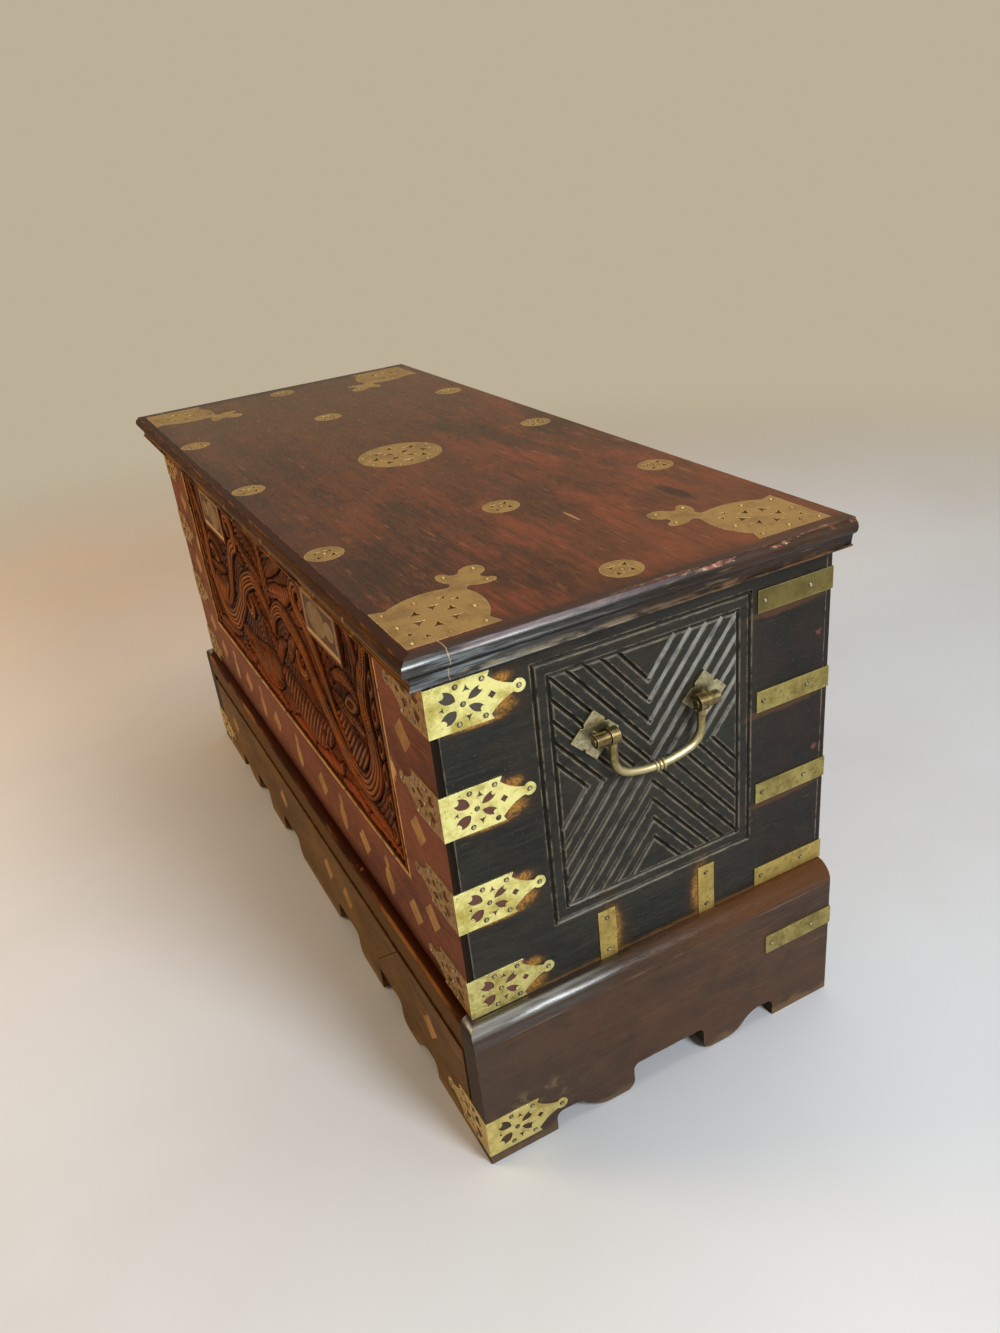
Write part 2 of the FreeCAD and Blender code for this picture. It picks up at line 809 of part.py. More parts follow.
def moulding_face():
    """Section of the lid moulding: U runs outwards from the lid board, W up."""
    step = moulding_width - moulding_round
    under_arris = lid_thickness - moulding_arris
    round_foot = under_arris - moulding_round_height
    middle = under_arris - moulding_round_height / 2
    foot = step - moulding_cove
    cove = ((foot + (step - moulding_arris - foot) * 0.25, round_foot * 0.55), (foot, moulding_arris))
    return outline((0, 0), (0, lid_thickness), (step, lid_thickness), (step, under_arris),
                   ((moulding_width, middle), (step, round_foot)), (step - moulding_arris, round_foot),
                   cove, (foot + moulding_arris, moulding_arris), (foot + moulding_arris, 0))


def mitre_waste():
    """Everything on the end side of the front right mitre, and its mirror image is the front side."""
    reach = 2 * moulding_width
    corner = V(lid_half, lid_front, lid_base)
    points = [corner + V(moulding_width, -moulding_width, 0), corner + V(-reach, reach, 0),
              corner + V(moulding_width, reach, 0)]
    return Part.Face(Part.makePolygon(points + points[:1])).extrude(ALONG_Z * lid_thickness)


def lid_front_moulding():
    bar = moulding_face().extrude(ALONG_Z * lid_length)
    bar = lay(bar, V(lid_half, lid_front + moulding_width, lid_base), -ALONG_Y, ALONG_Z)
    return cut_away(bar, both_ends([mitre_waste()]))


def lid_right_moulding():
    bar = moulding_face().extrude(ALONG_Z * lid_depth)
    bar = lay(bar, V(lid_half - moulding_width, back, lid_base), ALONG_X, ALONG_Z)
    corner = V(lid_half, lid_front, 0)
    waste = mitre_waste().mirror(corner, V(1, 1, 0).normalize())
    return cut_away(bar, [waste])


def mount_face():
    """Leaf-shaped corner mount from its corner at the origin along +U to its three-lobed finial."""
    ear = mount_ear / math.sqrt(2)
    tip = mount_length
    return symmetric(
        (0, 0), (ear, ear), (ear * 1.11, ear * 0.78),
        ((tip * 0.56, tip * 0.2), (tip * 0.68, tip * 0.066)), ((tip * 0.707, tip * 0.046), (tip * 0.74, tip * 0.06)),
        ((tip * 0.76, tip * 0.12), (tip * 0.804, tip * 0.161)), ((tip * 0.846, tip * 0.161), (tip * 0.853, tip * 0.12)),
        ((tip * 0.853, tip * 0.08), (tip * 0.881, tip * 0.06)), ((tip * 0.944, tip * 0.066), (tip, 0)))


def mount_holes():
    middle = mount_length * 0.37
    ring = mount_length * 0.105
    holes = []
    for index in range(triangles_each_mount):
        turn = 360 * (index + 0.5) / triangles_each_mount
        angle = math.radians(turn)
        place = (middle + ring * math.cos(angle), ring * math.sin(angle))
        holes.append(set_out(hollow_triangle(mount_length * 0.046), place, turn + 180))
    small = hollow_triangle(mount_length * 0.028)
    for along, across, turn in ((0.155, 0.045, 60), (0.155, -0.045, -60), (0.575, 0.038, 0), (0.575, -0.038, 0)):
        holes.append(set_out(small, (mount_length * along, mount_length * across), turn))
    return holes


def mount_places():
    shares = [(0.06, 0), (0.21, 0.135), (0.335, 0.27), (0.49, 0.16), (0.815, 0.12)]
    places = [(mount_length * u, side * mount_length * w) for u, w in shares for side in (-1, 1) if w or side > 0]
    return places + [(mount_length * 0.95, 0)]


def mount_corner(side_y):
    """Corner point and diagonal of the right-hand mount at the front (-1) or the back (+1)."""
    edge = lid_front if side_y < 0 else back
    inset_x = moulding_width + mount_margin_end
    inset_y = moulding_width + mount_margin_front
    corner = V(lid_half - inset_x, edge - side_y * inset_y, lid_top - mount_thickness)
    inward = V(-1, -side_y, 0).normalize()
    return corner, inward, ALONG_Z.cross(inward)


def mount_spots(side_y):
    corner, along, across = mount_corner(side_y)
    return spots_on(corner, along, across, mount_places())


def lid_mount(side_y):
    corner, along, across = mount_corner(side_y)
    mount = lay(plate(mount_face(), mount_holes(), mount_thickness), corner, along, across)
    return cut_away(mount, bores_of(mount_spots(side_y), mount_thickness))


def mount_bed(side_y):
    corner, along, across = mount_corner(side_y)
    return lay(plate(mount_face(), [], mount_thickness), corner, along, across)


def disc(radius):
    return outline((-radius, 0), ((0, radius), (radius, 0)), ((0, -radius), (-radius, 0)))


def small_roundel_centres():
    middle = (lid_front + back) / 2
    inset = moulding_width + small_roundel_radius
    end = lid_half - inset - roundel_margin_end
    edge = lid_depth / 2 - inset - roundel_margin_edge
    quarter = lid_half / 2
    places = [(0, -edge), (0, edge)]
    for side in (-1, 1):
        places += [(side * quarter, -edge), (side * quarter, 0), (side * quarter, edge), (side * end, 0)]
    return [V(x, middle + y, lid_top - mount_thickness) for x, y in places]


def small_roundel_holes():
    ring = small_roundel_radius * 0.52
    holes = []
    for turn in (45, 135, 225, 315):
        angle = math.radians(turn)
        spot = (ring * math.cos(angle), ring * math.sin(angle))
        holes.append(set_out(hollow_triangle(small_roundel_radius * 0.3), spot, turn))
    return holes


def small_roundels():
    coin = plate(disc(small_roundel_radius), small_roundel_holes(), mount_thickness)
    coins = [lay(coin, centre, ALONG_X, ALONG_Y) for centre in small_roundel_centres()]
    return [cut_away(one, bores_of(roundel_spots(), mount_thickness)) for one in coins]


def centre_roundel_middle():
    return V(0, (lid_front + back) / 2, lid_top - mount_thickness)


def centre_roundel_holes():
    holes = []
    for index in range(8):
        turn = 45 * index
        angle = math.radians(turn)
        outer = (centre_roundel_radius * 0.62 * math.cos(angle), centre_roundel_radius * 0.62 * math.sin(angle))
        holes.append(set_out(hollow_triangle(centre_roundel_radius * 0.19), outer, turn))
        if index % 2:
            inner = (centre_roundel_radius * 0.27 * math.cos(angle), centre_roundel_radius * 0.27 * math.sin(angle))
            holes.append(set_out(lens(centre_roundel_radius * 0.3, centre_roundel_radius * 0.13), inner, turn))
    return holes


def roundel_spots():
    """Pin spots of all roundels: one in the middle of each and a ring near the rim of the large one."""
    centre = centre_roundel_middle()
    spots = [(middle, ALONG_Z) for middle in small_roundel_centres() + [centre]]
    for index in range(8):
        angle = math.radians(45 * index + 22.5)
        shift = V(math.cos(angle), math.sin(angle), 0) * (centre_roundel_radius - pin_edge)
        spots.append((centre + shift, ALONG_Z))
    return spots


def centre_roundel():
    coin = plate(disc(centre_roundel_radius), centre_roundel_holes(), mount_thickness)
    coin = lay(coin, centre_roundel_middle(), ALONG_X, ALONG_Y)
    return cut_away(coin, bores_of(roundel_spots(), mount_thickness))


def lid_pin_spots():
    mounts = mount_spots(-1) + mount_spots(1)
    other_end = [(V(-spot.x, spot.y, spot.z), normal) for spot, normal in mounts]
    return mounts + other_end + roundel_spots()


def lid_board():
    plank = box(-lid_half + moulding_width, lid_half - moulding_width, lid_front + moulding_width, back,
                lid_base, lid_top)
    beds = both_ends([mount_bed(-1), mount_bed(1)])
    coins = [lay(plate(disc(small_roundel_radius), [], mount_thickness), centre, ALONG_X, ALONG_Y)
             for centre in small_roundel_centres()]
    coins.append(lay(plate(disc(centre_roundel_radius), [], mount_thickness), centre_roundel_middle(),
                     ALONG_X, ALONG_Y))
    bores = bores_of(lid_pin_spots(), mount_thickness)
    bed = leaf_thickness + leaf_gap
    bedding = box(hinge_offset - hinge_length / 2, hinge_offset + hinge_length / 2, back - leaf_depth, back,
                  lid_base, lid_base + bed)
    screws = [screw(x, pin_fit, True) for x in screw_places()]
    return cut_away(plank, beds + coins + bores + both_ends([bedding] + screws))


def screw_places():
    return [hinge_offset + step * screw_pitch for step in (-1, 0, 1)]


def screw(x, fit, upward):
    """Countersunk screw of a hinge leaf, driven up into the lid or down into the back board."""
    way = ALONG_Z if upward else -ALONG_Z
    face = V(x, back - leaf_depth / 2, lid_base) + way * leaf_gap
    head = Part.makeCone(screw_head_radius + fit, screw_radius + fit, screw_head_height, face, way)
    shank = Part.makeCylinder(screw_radius + fit, screw_length + fit, face, way)
    return joined(head, [shank])


def knuckle(low, high, radius):
    return Part.makeCylinder(radius, high - low, V(low, hinge_axis_y, lid_base), ALONG_X)


def hinge_leaf(upward):
    """Right-hand hinge leaf: the lid's carries the middle knuckle, the body's the two outer ones."""
    low = hinge_offset - hinge_length / 2
    high = hinge_offset + hinge_length / 2
    first = low + hinge_length / 3
    second = high - hinge_length / 3
    outer = [(low, first - knuckle_gap / 2), (second + knuckle_gap / 2, high)]
    middle = [(first + knuckle_gap / 2, second - knuckle_gap / 2)]
    own, other = (middle, outer) if upward else (outer, middle)
    z0 = lid_base + leaf_gap if upward else lid_base - leaf_thickness
    flat = box(low, high, back - leaf_depth, hinge_axis_y, z0, z0 + leaf_thickness - leaf_gap)
    room = knuckle_radius + knuckle_gap
    clear = [knuckle(a - knuckle_gap, b + knuckle_gap, room) for a, b in other]
    leaf = joined(cut_away(flat, clear), [knuckle(a, b, knuckle_radius) for a, b in own])
    bore = knuckle(low, high, hinge_pin_radius + pin_fit)
    return cut_away(leaf, [bore] + [screw(x, pin_fit, upward) for x in screw_places()])


def hinge_pin():
    return knuckle(hinge_offset - hinge_length / 2, hinge_offset + hinge_length / 2, hinge_pin_radius)


def post_places():
    return [coffer_middle + side * handle_span / 2 for side in (-1, 1)]


def post_shank(y, fit):
    inside = coffer_half - board_thickness - rove_thickness
    return Part.makeCylinder(post_shank_radius + fit, handle_axis_x - inside, V(inside, y, handle_z), ALONG_X)


def cross_bar(y, width, radius):
    """Cylinder along Y on the handle's pivot line, centred at y."""
    return Part.makeCylinder(radius, width, V(handle_axis_x, y - width / 2, handle_z), ALONG_Y)


def handle_posts():
    posts = []
    for y in post_places():
        inside = coffer_half - board_thickness - rove_thickness
        clench = Part.makeCylinder(post_clench_radius, rove_thickness, V(inside, y, handle_z), -ALONG_X)
        barrel = cross_bar(y, post_barrel_width, post_barrel_radius)
        post = joined(post_shank(y, 0.0), [clench, barrel])
        posts.append(cut_away(post, [cross_bar(y, post_barrel_width, pivot_radius + pin_fit)]))
    return posts


def star_face():
    """Square on its corner with a V notch half way along each side."""
    middle = star_reach / 2
    aside = star_notch_half * HALF_TURN_SHARE
    deep = middle - star_notch_depth * HALF_TURN_SHARE
    side = [(star_reach, 0), (middle + aside, middle - aside), (deep, deep), (middle - aside, middle + aside)]
    corners = list(side)
    for quarter in range(3):
        side = [(-w, u) for u, w in side]
        corners += side
    return outline(*corners)


def star_plates():
    face = star_face()
    plates = []
    for y in post_places():
        star = lay(plate(face, [], star_thickness), V(coffer_half, y, handle_z), ALONG_Y, ALONG_Z)
        plates.append(cut_away(star, [post_shank(y, pin_fit)]))
    return plates


def roves():
    inside = coffer_half - board_thickness
    washers = []
    for y in post_places():
        washer = Part.makeCylinder(rove_radius, rove_thickness, V(inside, y, handle_z), -ALONG_X)
        washers.append(cut_away(washer, [post_shank(y, pin_fit)]))
    return washers


def eye_places():
    inset = post_barrel_width / 2 + eye_gap + bail_eye_width / 2
    return [coffer_middle + side * (handle_span / 2 - inset) for side in (-1, 1)]


def pivot_pins():
    pins = []
    for post, eye in zip(post_places(), eye_places()):
        out = math.copysign(1.0, post - coffer_middle)
        outer = post + out * post_barrel_width / 2
        inner = eye - out * (bail_eye_width / 2 + eye_gap)
        shank = cross_bar((outer + inner) / 2, abs(outer - inner), pivot_radius)
        heads = [cross_bar(outer + out * pivot_head_height / 2, pivot_head_height, pivot_head_radius),
                 cross_bar(inner - out * pivot_head_height / 2, pivot_head_height, pivot_head_radius)]
        pins.append(joined(shank, heads))
    return pins


def bail_path():
    """Half of the bail's line: straight leg, bend and shallow bow, then the other half."""
    half = eye_places()[1] - coffer_middle
    bend = math.radians(bail_bend_angle)
    bow_radius = (half - bail_bend_radius * (1 - math.cos(bend))) / math.cos(bend)
    leg = handle_drop - bail_bend_radius * math.sin(bend) - bow_radius * (1 - math.sin(bend))
    start = -(pivot_radius + pin_fit + bail_eye_radius) / 2

    def on_bend(angle, side):
        across = half - bail_bend_radius * (1 - math.cos(angle))
        return V(handle_axis_x, coffer_middle + side * across, handle_z - leg - bail_bend_radius * math.sin(angle))

    def on_leg(z, side):
        return V(handle_axis_x, coffer_middle + side * half, handle_z + z)

    bottom = V(handle_axis_x, coffer_middle, handle_z - handle_drop)
    edges = [Part.LineSegment(on_leg(start, -1), on_leg(-leg, -1)),
             Part.Arc(on_leg(-leg, -1), on_bend(bend / 2, -1), on_bend(bend, -1)),
             Part.Arc(on_bend(bend, -1), bottom, on_bend(bend, 1)),
             Part.Arc(on_bend(bend, 1), on_bend(bend / 2, 1), on_leg(-leg, 1)),
             Part.LineSegment(on_leg(-leg, 1), on_leg(start, 1))]
    return Part.Wire([edge.toShape() for edge in edges])


def handle_bail():
    path = bail_path()
    first = path.Vertexes[0].Point
    section = Part.Wire([Part.makeCircle(bail_rod_radius, first, ALONG_Z)])
    rod = path.makePipeShell([section], True, False)
    eyes = [cross_bar(y, bail_eye_width, bail_eye_radius) for y in eye_places()]
    bottom = V(handle_axis_x, coffer_middle, handle_z - handle_drop)
    rings = [Part.makeTorus(bail_rod_radius, bail_ring_radius, bottom + ALONG_Y * (step * bail_ring_pitch), ALONG_Y)
             for step in (-1, 0, 1)]
    bail = joined(rod, eyes + rings)
    bores = [cross_bar(y, bail_eye_width, pivot_radius + pin_fit) for y in eye_places()]
    return cut_away(bail, bores)


def strap_pins():
    spots = upright_strap_spots()
    for corners in strap_corners().values():
        on_end, on_face = strap_spots(corners)
        spots = spots + on_end + on_face
    return both_ends(pins_of(spots, strap_thickness))


def hinge_screws(upward):
    return both_ends([screw(x, 0.0, upward) for x in screw_places()])


def save(name, solids):
    shape = solids[0] if len(solids) == 1 else Part.makeCompound(solids)
    shape.exportStep("parts/" + name + ".step")


def save_pair(name, shapes):
    """One node for the right-hand pieces and one for their mirror images."""
    save("right_" + name, shapes)
    save("left_" + name, [mirrored(shape) for shape in shapes])


def main():
    os.makedirs("parts", exist_ok=True)
    corners = strap_corners()
    save("front_board", [front_board()])
    save("back_board", [back_board()])
    save("floor_board", [floor_board()])
    save_pair("end_board", [right_end_board()])
    save_pair("plinth_side", [plinth_right_side()])
    save("plinth_back", [plinth_back()])
    save("plinth_top_rail", [plinth_top_rail()])
    save_pair("plinth_front", [plinth_front_right()])
    save_pair("drawer_guide", [drawer_guide_right()])
    save_pair("drawer_runner", [drawer_runner_right()])
    save("drawer_front", [drawer_front()])
    save_pair("drawer_side", [drawer_right_side()])
    save("drawer_back", [drawer_back()])
    save("drawer_bottom", [drawer_bottom()])
    save("drawer_lozenges", drawer_lozenges())
    save("lid_board", [lid_board()])
    save("lid_front_moulding", [lid_front_moulding()])
    save_pair("lid_moulding", [lid_right_moulding()])
    save_pair("lid_front_mount", [lid_mount(-1)])
    save_pair("lid_back_mount", [lid_mount(1)])
    save("lid_centre_roundel", [centre_roundel()])
    save("lid_small_roundels", small_roundels())
    save("lid_pins", pins_of(lid_pin_spots(), mount_thickness))
    save_pair("hinge_lid_leaf", [hinge_leaf(True)])
    save_pair("hinge_body_leaf", [hinge_leaf(False)])
    save("hinge_pins", both_ends([hinge_pin()]))
    save("hinge_lid_screws", hinge_screws(True))
    save("hinge_body_screws", hinge_screws(False))
    save_pair("handle_bail", [handle_bail()])
    save_pair("handle_posts", handle_posts())
    save("handle_stars", both_ends(star_plates()))
    save("handle_pivot_pins", both_ends(pivot_pins()))
    save("handle_roves", both_ends(roves()))
    save_pair("front_corner_straps", strap_set(corners["front_corner_straps"]))
    save_pair("back_corner_straps", strap_set(corners["back_corner_straps"]))
    save_pair("plinth_front_strap", strap_set(corners["plinth_front_strap"]))
    save("plinth_back_straps", both_ends(strap_set(corners["plinth_back_strap"])))
    save("end_upright_straps", both_ends(upright_straps()))
    save("strap_pins", strap_pins())
    save("front_lozenges", front_lozenges() + both_ends(plinth_lozenges()))
    save("front_fleurs", front_fleurs())
    save("front_stringing", front_stringing())
    save("front_tablet_frames", tablet_frames())


main()
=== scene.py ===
import math

import bmesh
import bpy
import numpy as np
from mathutils import Matrix, Vector


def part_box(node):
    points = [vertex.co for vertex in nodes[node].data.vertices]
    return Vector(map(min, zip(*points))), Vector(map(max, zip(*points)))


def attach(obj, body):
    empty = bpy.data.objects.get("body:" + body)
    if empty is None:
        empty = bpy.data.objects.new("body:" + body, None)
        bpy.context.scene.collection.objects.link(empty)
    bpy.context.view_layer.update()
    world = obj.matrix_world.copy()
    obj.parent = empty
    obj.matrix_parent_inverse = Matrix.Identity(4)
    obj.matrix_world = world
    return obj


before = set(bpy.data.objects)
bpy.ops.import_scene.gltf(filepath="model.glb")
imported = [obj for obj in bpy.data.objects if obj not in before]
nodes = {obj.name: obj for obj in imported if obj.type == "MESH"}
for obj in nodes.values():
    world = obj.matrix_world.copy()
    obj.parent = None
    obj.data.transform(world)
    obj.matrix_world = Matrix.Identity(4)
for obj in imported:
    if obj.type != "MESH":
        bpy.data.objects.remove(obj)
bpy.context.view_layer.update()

# Zanzibar chest. Metres, +Z up, the carved front faces -Y and the near end faces +X.

MM = 0.001

# Places read from the frame
lid_low, lid_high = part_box("lid_board")
lid_outer_low, lid_outer_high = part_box("lid_front_moulding")
front_low, front_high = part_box("front_board")
end_low, end_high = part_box("right_end_board")
plinth_low, plinth_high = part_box("right_plinth_side")
rail_low, rail_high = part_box("plinth_top_rail")
line_low, line_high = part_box("front_stringing")
tablet_low, tablet_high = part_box("front_tablet_frames")
strap_low, strap_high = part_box("right_front_corner_straps")
plain_low, plain_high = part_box("right_back_corner_straps")
upright_low, upright_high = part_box("end_upright_straps")
bail_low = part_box("right_handle_bail")[0]
back_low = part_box("back_board")[0]
coffer_half = front_high.x
coffer_front = front_low.y
coffer_base = front_low.z
lid_base = lid_low.z
lid_top = lid_high.z
lid_half = lid_outer_high.x
lid_front = lid_outer_low.y
plinth_front = plinth_low.y
back_joint_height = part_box("plinth_back")[1].z
visible_foot = max(end_low.z, plinth_high.z)
tablet_length = 88.0 * MM
tablet_middle = tablet_high.x - tablet_length / 2

# Binding straps: how wide they are, and how they repeat up an end
STRAP_COUNT = 4
strap_height = 38.7 * MM
strap_shoulder = 50.0 * MM
strap_first = strap_low.z + strap_height / 2
strap_pitch = (strap_high.z - strap_low.z - strap_height) / (STRAP_COUNT - 1)
plain_height = 19.5 * MM
plain_first = plain_low.z + plain_height / 2
plain_pitch = (plain_high.z - plain_low.z - plain_height) / (STRAP_COUNT - 1)
upright_width = 16.7 * MM

# Marks of age, at the places where this chest has them
lid_crack = lid_front + 34.5 * MM
lid_knot = (300 * MM, 124 * MM)
lid_nick = (290 * MM, 27 * MM)
# Height of the quirk in both mouldings; the dark line painted there is shade in the groove.
moulding_quirk = lid_base + 10.5 * MM
moulding_marks = (130 * MM, 5 * MM, 338 * MM)
moulding_patch = (235 * MM, lid_base + 7 * MM)
end_red_specks = ((176 * MM, 386 * MM), (176 * MM, 275 * MM))
plinth_dirt = (plinth_front + 60 * MM, 52 * MM)


def tone(red, green, blue):
    """Colour given as it looks on a screen, 0 to 255, in the linear values that shaders take."""
    linear = []
    for channel in (red, green, blue):
        share = channel / 255
        linear.append(share / 12.92 if share <= 0.04045 else ((share + 0.055) / 1.055) ** 2.4)
    return (*linear, 1.0)


class Value:
    """A value that varies over a surface. Arithmetic on it adds Math nodes to its tree."""

    def __init__(self, owner, socket):
        self.owner = owner
        self.socket = socket

    def math(self, operation, *operands):
        return self.owner.node("Math", {"operation": operation}, dict(enumerate(operands)))

    def __add__(self, other):
        return self.math("ADD", self, other)

    def __sub__(self, other):
        return self.math("SUBTRACT", self, other)

    def __rsub__(self, other):
        return self.math("SUBTRACT", other, self)

    def __mul__(self, other):
        return self.math("MULTIPLY", self, other)

    def __truediv__(self, other):
        return self.math("DIVIDE", self, other)

    def __abs__(self):
        return self.math("ABSOLUTE", self)

    __radd__ = __add__
    __rmul__ = __mul__

    def most(self, other):
        return self.math("MAXIMUM", self, other)

    def least(self, other):
        return self.math("MINIMUM", self, other)

    def root(self):
        return self.math("SQRT", self)

    def step(self, start, end):
        """0 up to start and 1 from end on, smooth between them. End may be the smaller one."""
        limits = {"Value": self, "From Min": start, "From Max": end}
        return self.owner.node("MapRange", {"interpolation_type": "SMOOTHSTEP"}, limits)

    def within(self, half, soft):
        """1 where the value is closer to zero than half, fading over soft."""
        return abs(self).step(half + soft, half)

    def repeat(self, first, pitch):
        """Distance from the nearest of the places first, first + pitch and so on."""
        turns = (self - first) / pitch + 0.5
        return (self.math("FRACT", turns) - 0.5) * pitch


class Nodes:
    """A node tree that is written as expressions."""

    def __init__(self, tree):
        self.tree = tree

    def plug(self, socket, value):
        """Links a varying value to a socket, or sets a constant on it."""
        if isinstance(value, Value):
            self.tree.links.new(value.socket, socket)
        else:
            socket.default_value = value

    def node(self, kind, settings=None, inputs=None, output=0):
        """Adds a node: its settings are set first, then its sockets. Returns one of its outputs."""
        made = self.tree.nodes.new("ShaderNode" + kind)
        for name, setting in (settings or {}).items():
            setattr(made, name, setting)
        for name, value in (inputs or {}).items():
            self.plug(made.inputs[name], value)
        return Value(self, made.outputs[output])


class Finish(Nodes):
    """One procedural material, in the frame's own metres."""

    def __init__(self, name):
        self.material = bpy.data.materials.new(name)
        self.material.use_nodes = True
        super().__init__(self.material.node_tree)
        self.shader = self.tree.nodes["Principled BSDF"]
        self.place = self.node("TexCoord", output="Object")
        self.x, self.y, self.z = self.split(self.place)

    def dress(self, sockets):
        """Sets or links the shader's sockets and returns the material."""
        for name, value in sockets.items():
            self.plug(self.shader.inputs[name], value)
        return self.material

    def split(self, vector):
        """The three parts of a vector."""
        return [self.node("SeparateXYZ", {}, {"Vector": vector}, axis) for axis in "XYZ"]

    def normal(self):
        """Which way the surface faces: its shares along X, Y and Z."""
        return self.split(self.node("NewGeometry", output="Normal"))

    def mix(self, share, first, second):
        """First colour where share is 0, second colour where it is 1."""
        return self.node("Mix", {"data_type": "RGBA"}, {0: share, 6: first, 7: second}, 2)

    def stain(self, share, colour):
        """Lays a colour over the surface's own, by this share."""
        self.colour = self.mix(share, self.colour, colour)

    def noise(self, scale, stretch=(1, 1, 1), detail=4.0, roughness=0.55, seed=0.0):
        """Noise about 0.5, drawn out along an axis where stretch is below 1."""
        spot = self.node("VectorMath", {"operation": "MULTIPLY"}, {0: self.place, 1: stretch})
        inputs = {"Vector": spot, "W": seed, "Scale": scale, "Detail": detail, "Roughness": roughness}
        return self.node("TexNoise", {"noise_dimensions": "4D"}, inputs)

    def fray(self, amount, scale, stretch=(1, 1, 1), detail=4.0, roughness=0.55, seed=0.0):
        """Noise about zero that frays the edge of a mark, by up to half of this amount."""
        return (self.noise(scale, stretch, detail, roughness, seed) - 0.5) * amount

    def flecks(self, scale, size, stretch=(1, 1, 1)):
        """Small scattered spots, 1 at their middles."""
        spot = self.node("VectorMath", {"operation": "MULTIPLY"}, {0: self.place, 1: stretch})
        cells = self.node("TexVoronoi", {}, {"Vector": spot, "Scale": scale, "Randomness": 1.0}, "Distance")
        return cells.step(size, size * 0.4)

    def edges(self, radius, start=0.02, end=0.3):
        """1 along edges of the piece, 0 on its flats."""
        rounded = self.node("Bevel", {"samples": 6}, {"Radius": radius})
        flat = self.node("NewGeometry", output="True Normal")
        same = self.node("VectorMath", {"operation": "DOT_PRODUCT"}, {0: rounded, 1: flat}, "Value")
        return (1 - same).step(start, end)

    def hollow(self, reach):
        """1 deep in hollows about as wide as this reach, 0 in the open."""
        return 1 - self.node("AmbientOcclusion", {"samples": 4}, {"Distance": reach}, "AO")

    def bump(self, height, distance, radius):
        """Normal with small relief on edges rounded by this radius."""
        rounded = self.node("Bevel", {"samples": 6}, {"Radius": radius})
        return self.node("Bump", {}, {"Height": height, "Distance": distance, "Normal": rounded})

    def ellipse(self, across, along, half_across, half_along):
        """Distance from a middle in units of an ellipse: below 1 inside it."""
        return ((across / half_across) * (across / half_across)
                + (along / half_along) * (along / half_along)).root()


GRAIN = {"X": (0.08, 1, 1), "Y": (1, 0.08, 1), "Z": (1, 1, 0.08)}
AMBER = tone(184, 132, 56)
# Near-black used for soot in the back joint and for painted shade in grooves and the end moulding's quirk.
SOOT_AND_SHADE = tone(12, 10, 8)
EBONY = tone(25, 22, 18)


class Wood(Finish):
    """Close-grained hardwood: fine streaks and pores along one axis, and mottled patches of tone."""

    def __init__(self, name, along, dark, middle, light, seed):
        super().__init__(name)
        stretch = GRAIN[along]
        slow = tuple(max(share, 0.45) for share in stretch)
        self.figure = self.noise(13, slow, detail=7.0, roughness=0.68, seed=seed)
        self.streak = self.noise(300, stretch, detail=5.0, roughness=0.65, seed=seed + 3)
        self.pores = self.noise(1100, stretch, detail=2.0, seed=seed + 5).step(0.54, 0.68)
        self.scratch = self.noise(420, stretch, detail=1.0, seed=seed + 8).step(0.67, 0.76)
        body = self.mix(self.figure.step(0.36, 0.64), dark, middle)
        body = self.mix(self.streak.step(0.44, 0.74) * 0.6, body, light)
        self.colour = self.mix(self.pores * 0.5, body, dark)
        self.relief = self.streak * 0.5 - self.pores * 0.6

    def wood(self, rough, spread, shine=0.35, relief=0.00025, edge=0.0008, polish=0.0, wax_rough=0.26):
        """Dresses the shader. Polish is how much wax lies over the wood, wax_rough how dull that is."""
        return self.dress({
            "Base Color": self.colour,
            "Roughness": rough + self.streak * spread + self.pores * 0.12,
            "Specular IOR Level": shine,
            "Coat Weight": polish,
            "Coat Roughness": wax_rough,
            "Normal": self.bump(self.relief, relief, edge),
        })


def lid_flat(wood):
    """1 on the flat top of the lid, 0 on the rounds of its mouldings."""
    return wood.z.step(lid_top - 0.0008, lid_top - 0.0002)


def lid_top_marks(wood, share):
    """Marks that run over the lid board and its mouldings: dark rim, chipped end edge and a crack."""
    to_end = lid_half - abs(wood.x)
    rim = to_end.least(wood.y - lid_front) + wood.fray(0.035, 26, detail=5.0, seed=4.0)
    wood.stain(rim.step(0.034, 0.01) * share * 0.6, tone(50, 28, 23))
    chip_edge = to_end + wood.fray(0.02, 95, (1, 0.4, 1), seed=19.0)
    chipped = chip_edge.step(0.006, 0.0035) * wood.y.step(-0.08, 0.14) * share
    pale = wood.noise(330, seed=2.0).step(0.48, 0.62)
    wood.stain(chipped * 0.8, wood.mix(pale, tone(146, 82, 50), tone(216, 182, 154)))
    crack_line = wood.y - lid_crack + wood.fray(0.005, 45, seed=6.0)
    crack = crack_line.within(0.0002, 0.0003) * to_end.step(0.022, 0.018)
    wood.stain(crack * 0.85, tone(178, 146, 112))


